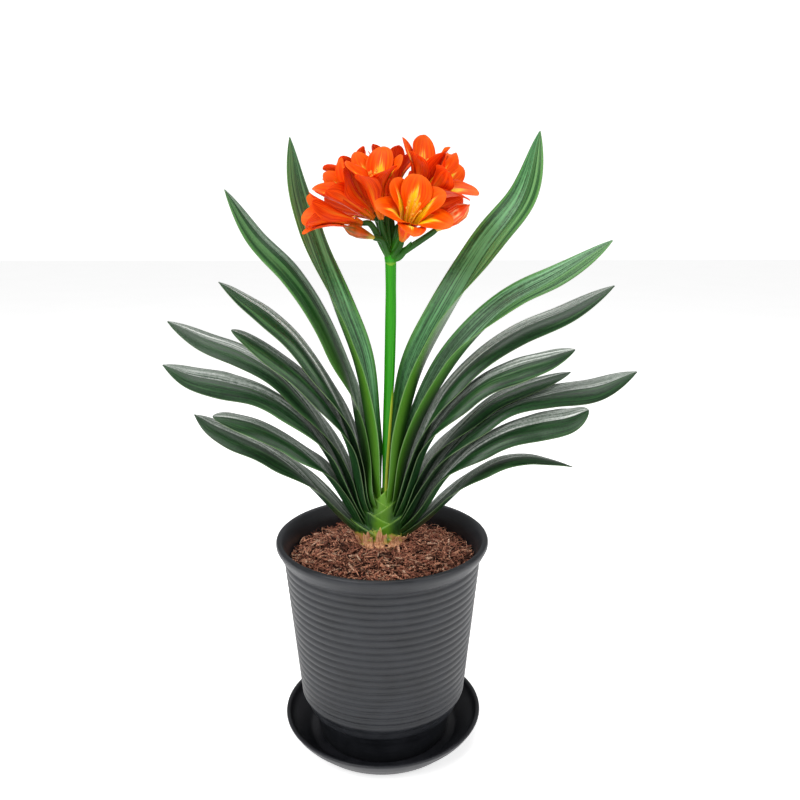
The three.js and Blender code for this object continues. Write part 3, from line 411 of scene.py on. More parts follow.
def curve_points(points, t):
    """Points of a Catmull-Rom curve at each t from 0 to 1."""
    p = np.asarray(points, float)
    ends = np.vstack([2 * p[:1] - p[1:2], p, 2 * p[-1:] - p[-2:-1]])
    at = np.clip(np.atleast_1d(t), 0, 1) * (len(p) - 1)
    i = np.minimum(np.floor(at).astype(int), len(p) - 2)
    w = (at - i).reshape(-1, *[1] * (p.ndim - 1))
    before, start, end, after = (ends[i + k] for k in range(4))
    leave = 0.5 * (end - before)
    arrive = 0.5 * (after - start)
    square = -3 * start + 3 * end - 2 * leave - arrive
    cube = 2 * start - 2 * end + leave + arrive
    return start + leave * w + square * w**2 + cube * w**3


def curve_tangents(points, t):
    step = 1e-4
    return unit(curve_points(points, t + step) - curve_points(points, t - step))


# ---- mesh helpers
def grid_faces(rows, columns, start=0, wrap=False, flip=False):
    """Quads over a grid of points; wrap joins the last column to the first."""
    across = columns if wrap else columns - 1
    i, j = np.meshgrid(np.arange(rows - 1), np.arange(across), indexing="ij")
    nxt = (j + 1) % columns
    quads = np.stack([i * columns + j, (i + 1) * columns + j, (i + 1) * columns + nxt,
                      i * columns + nxt], axis=-1).reshape(-1, 4) + start
    return quads[:, ::-1] if flip else quads


def capped_faces(rows, sides, flip=True):
    """Faces over rings of points, with a cap on each end."""
    start = list(range(sides))
    end = list(range((rows - 1) * sides, rows * sides))
    caps = [start[::-1], end] if flip else [start, end[::-1]]
    return grid_faces(rows, sides, wrap=True, flip=flip).tolist() + caps


def make_object(name, points, faces, looks, face_looks=None, attributes=None):
    """A smooth mesh in metres from points in millimetres."""
    mesh = bpy.data.meshes.new(name)
    points = np.reshape(points, (-1, 3)) * MM
    mesh.from_pydata(points.tolist(), [], [list(f) for f in faces])
    for look in looks:
        mesh.materials.append(look)
    if face_looks is not None:
        mesh.polygons.foreach_set("material_index", np.asarray(face_looks, np.int32))
    mesh.polygons.foreach_set("use_smooth", np.ones(len(mesh.polygons), bool))
    for title, values in (attributes or {}).items():
        layer = mesh.attributes.new(title, "FLOAT_VECTOR", "POINT")
        layer.data.foreach_set("vector", np.asarray(values, np.float32).ravel())
    mesh.update()
    piece = bpy.data.objects.new(name, mesh)
    bpy.context.scene.collection.objects.link(piece)
    return piece


def stand_for(piece, node):
    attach(piece, "root")
    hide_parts(node)


class Pile:
    """Gathers several surfaces into one mesh, with three numbers for each point."""

    def __init__(self):
        self.points = []
        self.faces = []
        self.looks = []
        self.values = []
        self.count = 0

    def add(self, points, faces, values=(0, 0, 0), look=0):
        points = np.reshape(points, (-1, 3))
        self.points.append(points)
        self.faces.extend((np.asarray(f) + self.count).tolist() for f in faces)
        self.looks.extend(np.broadcast_to(look, len(faces)).tolist())
        self.values.append(np.broadcast_to(np.reshape(values, (-1, 3)), points.shape))
        self.count += len(points)

    def make(self, name, looks, title=None):
        attributes = {title: np.vstack(self.values)} if title else None
        return make_object(name, np.vstack(self.points), self.faces, looks, self.looks,
                           attributes)


def blade(grid, thickness):
    """Points and faces of a thin closed sheet about a grid of points."""
    rows, columns = grid.shape[:2]
    along = np.gradient(grid, axis=0)
    across = np.gradient(grid, axis=1)
    offset = unit(np.cross(along, across)) * (thickness[..., None] / 2)
    under = rows * columns
    index = np.arange(under).reshape(rows, columns)
    faces = [grid_faces(rows, columns), grid_faces(rows, columns, under, flip=True)]
    rims = [(index[:, 0], False), (index[:, -1], True), (index[0], True), (index[-1], False)]
    for line, flip in rims:
        strip = np.stack([line[:-1], line[:-1] + under, line[1:] + under, line[1:]], axis=-1)
        faces.append(strip[:, ::-1] if flip else strip)
    return np.concatenate([grid + offset, grid - offset]), np.vstack(faces)


def tube(points, radii, rows, sides, depth=1.0):
    """Points and faces of a closed round stem along a curve, its radius keyed along it."""
    t = np.linspace(0, 1, rows)
    along = curve_tangents(points, t)
    level = np.abs(along[:, 1:2]) < 0.9
    reference = np.where(level, [[0.0, 1.0, 0.0]], [[1.0, 0.0, 0.0]])
    sideways = unit(np.cross(reference, along))
    forward = np.cross(along, sideways)
    radius = straight(radii, t)[:, None, None]
    angle = turns(sides)[None, :, None]
    rings = curve_points(points, t)[:, None] + sideways[:, None] * np.cos(angle) * radius
    rings = rings + forward[:, None] * np.sin(angle) * radius * depth
    return rings, capped_faces(rows, sides)


def turned(profile):
    """Points and faces of a form turned about Z."""
    radius, height = np.asarray(profile, float).T[..., None]
    angle = turns(TURN_SIDES)
    points = triples(radius * np.cos(angle), radius * np.sin(angle), height)
    return points, grid_faces(len(profile), TURN_SIDES, wrap=True, flip=True)


# ---- material helpers
def rgb(red, green, blue):
    """A linear colour from sRGB values of 0 to 255."""
    srgb = np.array([red, green, blue]) / 255
    linear = np.where(srgb <= 0.04045, srgb / 12.92, ((srgb + 0.055) / 1.055) ** 2.4)
    return (*linear.tolist(), 1.0)


class Look:
    """A Principled material, with short calls that add its nodes."""

    def __init__(self, name, roughness, specular=0.5, scatter=0.0, **sockets):
        self.material = bpy.data.materials.new(name)
        self.material.use_nodes = True
        self.tree = self.material.node_tree
        self.shader = self.tree.nodes["Principled BSDF"]
        sockets |= {"Roughness": roughness, "Specular IOR Level": specular,
                    "Subsurface Weight": scatter}
        for socket, value in sockets.items():
            self.shader.inputs[socket].default_value = value

    def node(self, kind, inputs=None, **settings):
        made = self.tree.nodes.new(kind)
        for key, value in settings.items():
            setattr(made, key, value)
        for key, value in (inputs or {}).items():
            self.feed(made.inputs[key], value)
        return made

    def feed(self, socket, value):
        if isinstance(value, bpy.types.NodeSocket):
            self.tree.links.new(value, socket)
        else:
            socket.default_value = value

    def split(self, vector):
        return tuple(self.node("ShaderNodeSeparateXYZ", {0: vector}).outputs)

    def parts(self, title):
        """The three numbers that a mesh holds under this title."""
        held = self.node("ShaderNodeAttribute", attribute_name=title)
        return self.split(held.outputs["Vector"])

    def place(self):
        return self.node("ShaderNodeTexCoord").outputs["Object"]

    def scaled(self, vector, factors):
        made = self.node("ShaderNodeVectorMath", {0: vector, 1: factors}, operation="MULTIPLY")
        return made.outputs[0]

    def joined(self, x, y, z):
        return self.node("ShaderNodeCombineXYZ", {0: x, 1: y, 2: z}).outputs[0]

    def maths(self, operation, *numbers):
        made = self.node("ShaderNodeMath", dict(enumerate(numbers)), operation=operation)
        return made.outputs[0]

    def times(self, a, b):
        return self.maths("MULTIPLY", a, b)

    def times_plus(self, a, b, c):
        return self.maths("MULTIPLY_ADD", a, b, c)

    def noise(self, vector, scale, detail, roughness):
        inputs = {"Vector": vector, "Scale": scale, "Detail": detail, "Roughness": roughness}
        return self.node("ShaderNodeTexNoise", inputs).outputs["Fac"]

    def streaks(self, across, wide, along, long, shift, detail=3):
        """Noise that changes wide times over the place across and long times along."""
        place = self.joined(self.times(across, wide), self.times(along, long), shift)
        return self.noise(place, 1.0, detail, 0.6)

    def span(self, value, low, high, to_low=0.0, to_high=1.0):
        """Eases from to_low to to_high as the value runs from low to high."""
        inputs = {0: value, 1: low, 2: high, 3: to_low, 4: to_high}
        made = self.node("ShaderNodeMapRange", inputs, interpolation_type="SMOOTHSTEP")
        return made.outputs[0]

    def blend(self, share, a, b):
        return self.node("ShaderNodeMix", {0: share, 6: a, 7: b}, data_type="RGBA").outputs[2]

    def ramp(self, value, low, high, dark, light):
        """Runs from a dark colour to a light one as the value runs from low to high."""
        return self.blend(self.span(value, low, high), rgb(*dark), rgb(*light))

    def tint(self, body, colour, value, low, high, share=1.0):
        """Lays up to this share of a colour over a body as the value runs from low to high."""
        return self.blend(self.span(value, low, high, 0, share), body, rgb(*colour))

    def finish(self, colour, roughness, height, depth, strength):
        """Feeds the shader; depth is that of the bump in metres."""
        self.feed(self.shader.inputs["Base Color"], colour)
        if roughness is not None:
            self.feed(self.shader.inputs["Roughness"], roughness)
        inputs = {"Height": height, "Distance": depth, "Strength": strength}
        bump = self.node("ShaderNodeBump", inputs)
        self.feed(self.shader.inputs["Normal"], bump.outputs[0])
        return self.material


# ---- materials
def plastic_look(name, dark, light, roughness):
    """Satin moulded plastic with faint turning lines and dust."""
    look = Look(name, roughness, 0.4)
    place = look.place()
    streaks = look.noise(look.scaled(place, (3, 3, 90)), 14, 4, 0.6)
    dust = look.noise(place, 38, 5, 0.62)
    grain = look.noise(place, 2600, 2, 0.5)
    patch = look.times_plus(streaks, 0.45, look.times(dust, 0.55))
    colour = look.ramp(patch, 0.34, 0.68, dark, light)
    gloss = look.span(patch, 0.3, 0.7, roughness - 0.07, roughness + 0.09)
    return look.finish(colour, gloss, grain, 0.00006, 0.35)


def leaf_look():
    """Leathery blade with fine parallel veins: a silvery far half that is a painted reflection
    of the light, a dark green near half with painted reflection stripes, painted shade in the
    midrib fold and low on the far half, and pale margins lightened as a painted highlight.
    Upright leaves have a yellow-green near half, darkened towards the midrib by painted
    shade, and a green far half.

    The attribute "blade" holds the place across from the far to the front margin (-1 to
    1), the place along from 0 to 1 and how upright the leaf is; "own" starts with a number
    of its own for each leaf."""
    look = Look("leaf_blade", 0.4, 0.4)
    across, along, upright = look.parts("blade")
    shift = look.times(look.parts("own")[0], 17)
    veins = look.streaks(across, 34, along, 3, shift, 2)
    bands = look.streaks(across, 5, along, 2.2, shift, 2)
    flecks = look.streaks(across, 12, along, 90, shift)
    tone = look.times_plus(veins, 0.75, look.times(flecks, 0.25))
    near = look.ramp(tone, 0.36, 0.66, (6, 28, 10), (30, 76, 32))
    # painted reflection: pale green stripes along the dark near half
    near = look.tint(near, (78, 124, 70), bands, 0.5, 0.75, 0.6)
    # painted reflection: the far half runs to silver-white, broken into streaks by darker bands
    far = look.ramp(tone, 0.38, 0.6, (34, 54, 40), (236, 240, 234))
    far = look.tint(far, (40, 68, 44), bands, 0.7, 0.4, 0.7)
    # painted shade: the far half darkens towards the foot, where the leaves crowd
    far = look.tint(far, (20, 44, 20), along, 0.3, 0.06, 0.8)
    # yellow-green of the upright leaves, with painted shade darkening it towards the midrib
    young = look.ramp(across, 0.05, 0.9, (24, 60, 14), (82, 134, 32))
    young = look.tint(young, (44, 92, 24), tone, 0.64, 0.36, 0.3)
    older = look.ramp(bands, 0.4, 0.62, (30, 82, 32), (112, 166, 100))
    young = look.blend(look.span(along, 0.4, 0.7), young, older)
    inner = look.ramp(tone, 0.4, 0.58, (14, 60, 24), (84, 148, 88))
    inner = look.tint(inner, (118, 188, 124), bands, 0.5, 0.62, 0.8)
    inner = look.tint(inner, (20, 64, 26), bands, 0.46, 0.34, 0.8)
    near = look.blend(upright, near, young)
    far = look.blend(upright, far, inner)
    body = look.blend(look.span(across, 0.03, -0.05), near, far)
    side = look.maths("ABSOLUTE", across)
    # painted shadow in the midrib fold
    body = look.tint(body, (16, 38, 16), side, 0.05, 0.015, 0.6)
    rim = look.times(look.span(side, 0.78, 0.92), look.span(bands, 0.4, 0.55, 0, 0.8))
    body = look.blend(look.times(rim, upright), body, rgb(76, 140, 50))
    # pale margins, lightened as a painted highlight along the edge
    body = look.tint(body, (128, 156, 100), side, 0.955, 0.985, 0.5)
    low = look.span(look.times_plus(veins, 0.06, along), 0.16, 0.05)
    body = look.blend(low, body, crown_skin(look)[0])
    return look.finish(body, look.span(veins, 0.3, 0.7, 0.32, 0.44), tone, 0.00035, 0.55)


def tepal_look(name, inside):
    """Tepal, finely veined. Inside, a yellow throat runs out in streaks over an orange
    blade; outside, a red-orange blade has a yellower keel and foot.

    The attribute holds the place across (-1 to 1), the place along (0 to 1) and a number
    of its own for each tepal."""
    look = Look(name, 0.46, 0.1, 0.12, **PETAL_SCATTER)
    across, along, own = look.parts("tepal")
    side = look.maths("ABSOLUTE", across)
    shift = look.times(own, 11.7)
    veins = look.streaks(across, 9, along, 1.6, shift)
    threads = look.streaks(across, 34, along, 3, shift, 2)
    tone = look.times_plus(threads, 0.4, look.times(veins, 0.6))
    if inside:
        body = look.ramp(tone, 0.34, 0.66, (240, 64, 0), (255, 104, 0))
        reach = look.times_plus(veins, -0.42, look.times_plus(side, 0.42, along))
        body = look.tint(body, (255, 152, 12), reach, 0.68, 0.56, 0.6)
        body = look.tint(body, (255, 212, 20), reach, 0.6, 0.52)
        # painted highlight: pale cream streaks over the yellow star
        pale = look.times(look.span(reach, 0.42, 0.5), look.span(reach, 0.64, 0.56))
        pale = look.times(pale, look.span(threads, 0.5, 0.62, 0, 0.5))
        body = look.blend(pale, body, rgb(255, 226, 150))
        body = look.tint(body, (255, 122, 40), along, 0.82, 1.0, 0.5)
    else:
        body = look.ramp(tone, 0.34, 0.66, (202, 34, 0), (250, 84, 10))
        keel = look.times(look.span(side, 0.3, 0.02, 0, 0.7), look.span(along, 0.9, 0.3))
        body = look.blend(keel, body, rgb(240, 134, 26))
        body = look.tint(body, (216, 122, 24), along, 0.3, 0.04, 0.7)
    return look.finish(body, look.span(tone, 0.3, 0.7, 0.36, 0.5), tone, 0.0003, 0.5)


def bud_look():
    """Closed bud: yellow-green foot, brown or orange flanks, and a painted cream highlight
    near the tip.

    The attribute holds the place around (-1 to 1), the place along (0 to 1) and 0 for the
    brown young bud or 1 for the orange one."""
    look = Look("bud_skin", 0.36, 0.4, 0.1, **THIN_SCATTER)
    around, along, ripe = look.parts("bud")
    veins = look.streaks(around, 5, along, 1.4, ripe)
    brown = look.ramp(veins, 0.4, 0.6, (112, 74, 6), (196, 78, 10))
    orange = look.ramp(veins, 0.35, 0.65, (228, 54, 4), (255, 104, 22))
    body = look.blend(ripe, brown, orange)
    body = look.tint(body, (196, 182, 72), along, 0.36, 0.05, 0.9)
    # painted highlight: cream near the tip of the orange bud
    cream = look.times(look.span(veins, 0.5, 0.62), look.span(along, 0.45, 0.7))
    body = look.blend(look.times(cream, ripe), body, rgb(252, 206, 140))
    return look.finish(body, look.span(veins, 0.3, 0.7, 0.32, 0.44), veins, 0.0003, 0.5)


def stamen_looks():
    """Filaments and style, orange to pale yellow, and anthers dusted with pollen."""
    look = Look("filament_skin", 0.45, 0.5, 0.1, **THIN_SCATTER)
    noise = look.noise(look.place(), 420, 3, 0.6)
    body = look.ramp(noise, 0.35, 0.65, (255, 168, 30), (255, 218, 84))
    filament = look.finish(body, None, noise, 0.0001, 0.4)
    look = Look("anther_pollen", 0.85)
    noise = look.noise(look.place(), 1900, 3, 0.7)
    body = look.ramp(noise, 0.35, 0.65, (214, 140, 40), (250, 210, 84))
    return filament, look.finish(body, None, noise, 0.0003, 0.9)


def scape_look():
    """Fresh green stalk with a yellow side low down, and darker stalklets.

    The attribute holds the place around (-1 left, 1 right), the place along from 0 to 1
    and the kind of stem."""
    look = Look("scape_skin", 0.42, 0.3, 0.06, **STEM_SCATTER)
    around, along, kind = look.parts("stalk")
    veins = look.streaks(around, 12, along, 4, kind)
    body = look.ramp(veins, 0.35, 0.68, (24, 126, 0), (52, 162, 6))
    body = look.tint(body, (118, 166, 34), along, 0.3, 0.12, 0.8)
    edge = look.times_plus(veins, 0.12, look.times_plus(along, -2.2, around))
    yellow = look.times(look.span(edge, -0.62, -0.48), look.span(along, 0.56, 0.5))
    yellow = look.times(yellow, look.span(kind, 0.18, 0.12))
    body = look.blend(yellow, body, rgb(190, 204, 64))
    stalklet = look.ramp(along, 0.05, 0.6, (48, 122, 12), (28, 76, 10))
    body = look.blend(look.span(kind, 0.4, 0.6), body, stalklet)
    return look.finish(body, look.span(veins, 0.3, 0.7, 0.36, 0.5), veins, 0.0002, 0.4)


def crown_skin(look):
    """Green of the leaf bases, yellower in the middle of the fan, and its fine fibres."""
    place = look.place()
    fibres = look.noise(look.scaled(place, (1, 1, 0.12)), 620, 3, 0.6)
    blotch = look.noise(place, 70, 4, 0.55)
    aside = look.maths("ABSOLUTE", look.maths("ADD", look.split(place)[0], -0.001))
    body = look.ramp(fibres, 0.36, 0.66, (18, 52, 14), (46, 92, 30))
    glow = look.times_plus(blotch, 0.008, aside)
    return look.tint(body, (98, 152, 24), glow, 0.019, 0.005, 0.95), fibres


def crown_look():
    """Leaf sheaths: green with pale edges, yellow lower down and tan at the foot.

    The attribute holds the depth below the sheath's edge in millimetres, the height from
    0 at the soil to 1 at the top and a number of its own for each sheath."""
    look = Look("crown_sheath", 0.38, 0.4)
    edge, height, own = look.parts("sheath")
    blotch = look.noise(look.place(), 90, 4, 0.6)
    body, fibres = crown_skin(look)
    body = look.tint(body, (22, 58, 18), own, 0, 1, 0.3)
    body = look.tint(body, (110, 160, 40), edge, 3.0, 0.5, 0.3)
    body = look.tint(body, (160, 190, 86), edge, 0.5, 0.2, 0.7)
    foot = look.times_plus(blotch, 0.7, height)
    body = look.tint(body, (176, 178, 66), foot, 0.62, 0.54, 0.8)
    body = look.tint(body, (196, 138, 88), foot, 0.53, 0.48, 0.9)
    return look.finish(body, look.span(fibres, 0.3, 0.7, 0.32, 0.46), fibres, 0.0002, 0.5)


def scale_look():
    """Dry papery scales round the foot of the crown."""
    look = Look("crown_scale", 0.75, 0.5, 0.1, **THIN_SCATTER)
    place = look.place()
    fibres = look.noise(look.scaled(place, (1, 1, 0.15)), 900, 3, 0.65)
    blotch = look.noise(place, 90, 3, 0.55)
    body = look.ramp(fibres, 0.32, 0.68, (168, 104, 66), (240, 184, 138))
    body = look.tint(body, (206, 192, 92), blotch, 0.54, 0.6, 0.8)
    return look.finish(body, None, fibres, 0.0004, 0.8)


def bark_look():
    """Shredded bark. The attribute starts with a tone for each chip."""
    look = Look("bark", 0.88, 0.25)
    own = look.parts("chip")[0]
    fibres = look.noise(look.place(), 1100, 3, 0.65)
    body = look.ramp(own, 0.0, 0.5, BARK_SHADES[0], BARK_SHADES[1])
    body = look.tint(body, BARK_SHADES[2], own, 0.5, 0.85)
    body = look.tint(body, BARK_SHADES[3], own, 0.88, 0.97)
    body = look.tint(body, (28, 15, 10), fibres, 0.58, 0.4, 0.8)
    return look.finish(body, None, fibres, 0.0004, 0.9)


# ---- saucer and pot
def make_turned(node, profile, dark, light, roughness):
    look = plastic_look(f"{node}_plastic", dark, light, roughness)
    stand_for(make_object(f"{node}_turned", *turned(profile), [look]), node)


def pot_profile():
    steps = np.arange(RIB_COUNT * RIB_STEPS)
    height = between(RIBBED_HEIGHTS, steps / len(steps))
    phase = (steps % RIB_STEPS) / RIB_STEPS
    ribs = RIB_HEIGHT * np.sin(np.pi * phase) ** RIB_POWER
    return [*POT_FOOT, *zip(between(RIBBED_RADII, steps / len(steps)) + ribs, height), *POT_RIM]


# ---- soil
def soil_height(x, y):
    outwards = (np.hypot(x, y) - CROWN_FOOT_RADIUS) / (MOUND_RADIUS - CROWN_FOOT_RADIUS)
    long, wide, small = LUMP_SIZES
    lumps = np.sin(x / long + LUMP_SHIFTS[0]) * np.cos(y / wide + LUMP_SHIFTS[1])
    lumps = lumps + np.sin((x + y) / small)
    mound = between((SOIL_EDGE_HEIGHT, SOIL_CROWN_HEIGHT), 1 - smooth(outwards))
    return mound + LUMP_HEIGHT * lumps


def add_chip(pile, centre, strand):
    """A chip, or a strand, that lies on the soil at any heading, bowed and ragged."""
    size = rng.uniform() ** CHIP_RARITY
    length = between(CHIP_LENGTH, size)
    width = rng.uniform(*CHIP_WIDTH) * CHIP_SHORT_WIDTH * (1 + size)
    if strand:
        length = rng.uniform(*STRAND_LENGTH)
        width = rng.uniform(*STRAND_WIDTH)
    lift = rng.uniform(*(STRAND_LIFT if strand else CHIP_LIFT))
    heading = rng.uniform(0, np.pi)
    tilt = rng.normal(0, CHIP_TILT)
    direction = np.array([np.cos(heading), np.sin(heading)])
    along = np.array([*direction * np.cos(tilt), np.sin(tilt)])
    twist = rng.uniform(-CHIP_TWIST, CHIP_TWIST)
    flat = np.array([-direction[1], direction[0], 0])
    sideways = flat * np.cos(twist) + np.cross(along, flat) * np.sin(twist)
    upward = np.cross(sideways, along)
    bow = upward * rng.uniform(*CHIP_BOW) * length
    if strand:
        bow = bow + flat * rng.uniform(-STRAND_SWING, STRAND_SWING) * length
    rows = []
    for s in CHIP_STATIONS:
        narrowed = 0.5 - CHIP_NARROWING * abs(s) ** CHIP_NARROWING_POWER
        half = width * narrowed * rng.uniform(*CHIP_RAGGED)
        thick = width * rng.uniform(*CHIP_THICKNESS)
        middle = along * s * length + bow * (1 - 4 * s * s)
        rows += [middle + sideways * half * u + upward * thick * v for u, v in CORNERS]
    rows = np.array(rows) + [*centre, soil_height(*centre) + lift]
    reach = np.hypot(rows[:, 0], rows[:, 1])
    rows[:, :2] *= np.minimum(1, CHIP_REACH / reach)[:, None]
    faces = capped_faces(len(CHIP_STATIONS), len(CORNERS), flip=False)
    pile.add(rows, faces, (rng.uniform(), 0, 0))


def make_soil():
    """A dark bed with shredded bark and fibre lying over it in all directions."""
    pile = Pile()
    rings = np.linspace(0, SOIL_RADIUS, BED_RINGS)[:, None]
    x = rings * np.cos(turns(BED_SIDES))
    y = rings * np.sin(turns(BED_SIDES))
    top = triples(x, y, soil_height(x, y) - BED_SINK)
    bed = np.concatenate([top, top[-1:] - [0, 0, BED_DEPTH]])
    pile.add(bed, grid_faces(BED_RINGS + 1, BED_SIDES, wrap=True), (BED_TONE, 0, 0))
    nearest, furthest = CHIP_PLACES
    radius = np.sqrt(rng.uniform(nearest**2, furthest**2, CHIP_COUNT))
    around = rng.uniform(0, 2 * np.pi, CHIP_COUNT)
    centres = np.stack([radius * np.cos(around), radius * np.sin(around)], axis=-1)
    for number, centre in enumerate(centres):
        add_chip(pile, centre, number < STRAND_COUNT)
    stand_for(pile.make("soil_chips", [bark_look()], "chip"), "soil")


# ---- crown
def sheath_radius(index, height, angle):
    """Distance from the crown's axis to the outside of a sheath."""
    middle = SHEATH_TOP - index * SHEATH_STEP
    levels = [CROWN_FOOT, SOIL_CROWN_HEIGHT + SHEATH_OFF_SOIL, middle - SHEATH_BELOW,
              middle + SHEATH_ABOVE]
    power = np.interp(height, levels, SHEATH_POWER)
    share = 0
    for widths, part_of in ((SHEATH_ACROSS, np.cos(angle)), (SHEATH_DEEP, np.sin(angle))):
        half = [CROWN_FOOT_RADIUS, *(first + more * index for first, more in widths)]
        share = share + np.abs(part_of / np.interp(height, levels, half)) ** power
    return share ** (-1 / power)


def sheath_edge(index, height, angle):
    """How far below its sloping edge a place on a sheath lies."""
    side = -1 if index % 2 else 1
    aside = sheath_radius(index, height, angle) * np.cos(angle)
    slant = SHEATH_SLANT - index * SHEATH_SLANT_STEP
    return SHEATH_TOP - index * SHEATH_STEP + side * slant * aside - height


def make_crown():
    """Nested sheaths with sloping, thinned edges, and torn scales round the foot."""
    angle = turns(CROWN_SIDES)
    top = np.full(CROWN_SIDES, float(SHEATH_TOP))
    for _ in range(CROWN_TOP_PASSES):
        edges = [top + sheath_edge(k, top, angle) for k in range(SHEATH_COUNT)]
        top = 0.5 * top + 0.5 * np.max(edges, axis=0)
    share = np.linspace(0, 1, CROWN_ROWS)[:, None]
    height = CROWN_FOOT + (top - CROWN_FOOT) * share
    radius = np.full(height.shape, float(CROWN_CORE_RADIUS))
    depth = np.full(height.shape, float(CROWN_CORE_DEPTH))
    own = np.zeros(height.shape)
    for k in range(SHEATH_COUNT):
        edge = sheath_edge(k, height, angle)
        lip = SHEATH_LIP_THICKNESS * (1 - smooth(edge / SHEATH_LIP))
        reach = sheath_radius(k, height, angle) - lip
        outer = (edge >= 0) & (reach > radius)
        radius = np.where(outer, reach, radius)
        depth = np.where(outer, edge, depth)
        own = np.where(outer, k * SHEATH_OWN_STEP % 1, own)
    skin = triples(CROWN_X + radius * np.cos(angle), radius * np.sin(angle), height)
    cap = skin[-1:] * [CAP_SHARE, CAP_SHARE, 1] - [0, 0, CAP_DEPTH]
    rise = (height - SOIL_CROWN_HEIGHT) / (SHEATH_TOP - SOIL_CROWN_HEIGHT)
    values = triples(depth, rise, own)
    pile = Pile()
    pile.add(np.concatenate([skin, cap]),
             grid_faces(CROWN_ROWS + 1, CROWN_SIDES, wrap=True, flip=True),
             np.concatenate([values, values[-1:]]))
    add_scale(pile, 0, *SCALE_FRONT)
    for number in range(1, SCALE_COUNT):
        middle = 2 * np.pi * (number * SCALE_TURNS[0] + number**2 * SCALE_TURNS[1])
        add_scale(pile, number, middle, rng.uniform(*SCALE_HALF), rng.uniform(*SCALE_HEIGHT))
    looks = [crown_look(), scale_look()]
    stand_for(pile.make("crown_sheaths", looks, "sheath"), "crown")


def add_scale(pile, number, middle, half, height):
    """One torn papery scale, held close round the foot of the crown."""
    across = np.linspace(-1, 1, SCALE_COLUMNS)
    up = np.linspace(0, 1, SCALE_ROWS)[:, None]
    tears = straight(rng.uniform(*SCALE_TEAR, SCALE_TEARS), (across + 1) / 2)
    fray = rng.uniform(-SCALE_FRAY, SCALE_FRAY, SCALE_COLUMNS)
    ragged = 1 - SCALE_ROUND * np.abs(across) ** SCALE_ROUND_POWER + tears + fray
    z = SOIL_CROWN_HEIGHT - SCALE_SINK + (SCALE_SINK + height * ragged) * up
    angle = middle + half * across * (1 - SCALE_NARROWING * up)
    flare = SCALE_FLARE * up**3 * rng.uniform(*SCALE_FLARE_SHARES)
    crimp = SCALE_CRIMP * np.sin(SCALE_CRIMPS * across + number)
    stand_off = SCALE_STAND_OFF + flare + crimp + SCALE_LAYER_STEP * (number % SCALE_LAYERS)
    radius = sheath_radius(SHEATH_COUNT - 1, z, angle) + stand_off
    grid = triples(CROWN_X + radius * np.cos(angle), radius * np.sin(angle), z)
    points, faces = blade(grid, np.full(grid.shape[:2], SCALE_THICKNESS))
    pile.add(points, faces, (0, 0, rng.uniform()), 1)


# ---- leaves
def half_profile(fold, droop, width, steps):
    """Points across half a leaf, outwards and upwards from the midrib, for each row."""
    share = smooth((np.arange(steps) + 0.5) / steps)
    slope = np.radians(fold[:, None] + (droop - fold)[:, None] * share)
    out = np.cumsum(np.cos(slope), axis=1) * width[:, None] / steps
    up = np.cumsum(np.sin(slope), axis=1) * width[:, None] / steps
    return out, up


def leaf_grid(leaf, t, steps, least):
    """Rows of points across the leaf: steps on each side of the midrib, far side first."""
    along = curve_tangents(leaf["points"], t)
    front = unit(np.array([0.0, -1.0, 0.0]) + along * along[:, 1:2])
    upper = np.cross(along, front) * -leaf["side"]
    roll = np.radians(keyed(leaf["roll"], t))[:, None]
    face = upper * np.cos(roll) + front * np.sin(roll)
    across = front * np.cos(roll) - upper * np.sin(roll)
    narrowing = np.minimum(1, (1 - t) / leaf["taper"])
    tip = np.sin(np.pi / 2 * narrowing) ** leaf["tip_power"]
    width = np.maximum(least, leaf["width"] * keyed(LEAF_FLARE, t) * tip)
    fold, droop = (keyed(leaf["slopes"][key], t) for key in ("fold", "droop"))
    out, up = half_profile(fold, droop, width, steps)
    midrib = np.zeros((len(t), 1))
    out = np.concatenate([-out[:, ::-1], midrib, out], axis=1)[..., None]
    up = np.concatenate([up[:, ::-1], midrib, up], axis=1)[..., None]
    return curve_points(leaf["points"], t)[:, None] + across[:, None] * out + face[:, None] * up


def coarse_rows(leaf):
    """Twelve rows of five points, on which neighbouring leaves are parted."""
    t = np.linspace(0, 1, LEAF_ROWS + 1)
    whole = leaf_grid(leaf, t, LEAF_PROFILE_STEPS, LEAF_TIP_HALF_WIDTH)
    return whole[:, ::LEAF_PROFILE_STEPS // 2].copy()


def leaf_triangles(rows, side):
    """Corner numbers of the triangles between rows, their normals on the upper face."""
    made = []
    for a in (5 * i + j for i in range(rows - 1) for j in range(4)):
        b, c, d = a + 1, a + 5, a + 6
        made += [(a, d, b), (a, c, d)] if side < 0 else [(a, b, d), (a, d, c)]
    return np.array(made)


def nearest_on(points, corners):
    """The nearest point of each triangle to each point."""
    a, b, c = corners[None, :, 0], corners[None, :, 1], corners[None, :, 2]
    p = points[:, None]
    ab, ac = b - a, c - a
    d1, d2 = dot(ab, p - a), dot(ac, p - a)
    d3, d4 = dot(ab, p - b), dot(ac, p - b)
    d5, d6 = dot(ab, p - c), dot(ac, p - c)
    va, vb, vc = d3 * d6 - d5 * d4, d5 * d2 - d1 * d6, d1 * d4 - d3 * d2
    zero, one = 0 * d1, 0 * d1 + 1
    with np.errstate(divide="ignore", invalid="ignore"):
        on_ab, on_ac = d1 / (d1 - d3), d2 / (d2 - d6)
        on_bc = (d4 - d3) / ((d4 - d3) + (d5 - d6))
        total = va + vb + vc
        cases = [(d1 <= 0) & (d2 <= 0), (d3 >= 0) & (d4 <= d3),
                 (vc <= 0) & (d1 >= 0) & (d3 <= 0), (d6 >= 0) & (d5 <= d6),
                 (vb <= 0) & (d2 >= 0) & (d6 <= 0),
                 (va <= 0) & (d4 - d3 >= 0) & (d5 - d6 >= 0)]
        v = np.select(cases, [zero, one, on_ab, zero, zero, 1 - on_bc], vb / total)
        w = np.select(cases, [zero, zero, zero, one, on_ac, on_bc], vc / total)
    return a + ab * v[..., None] + ac * w[..., None]


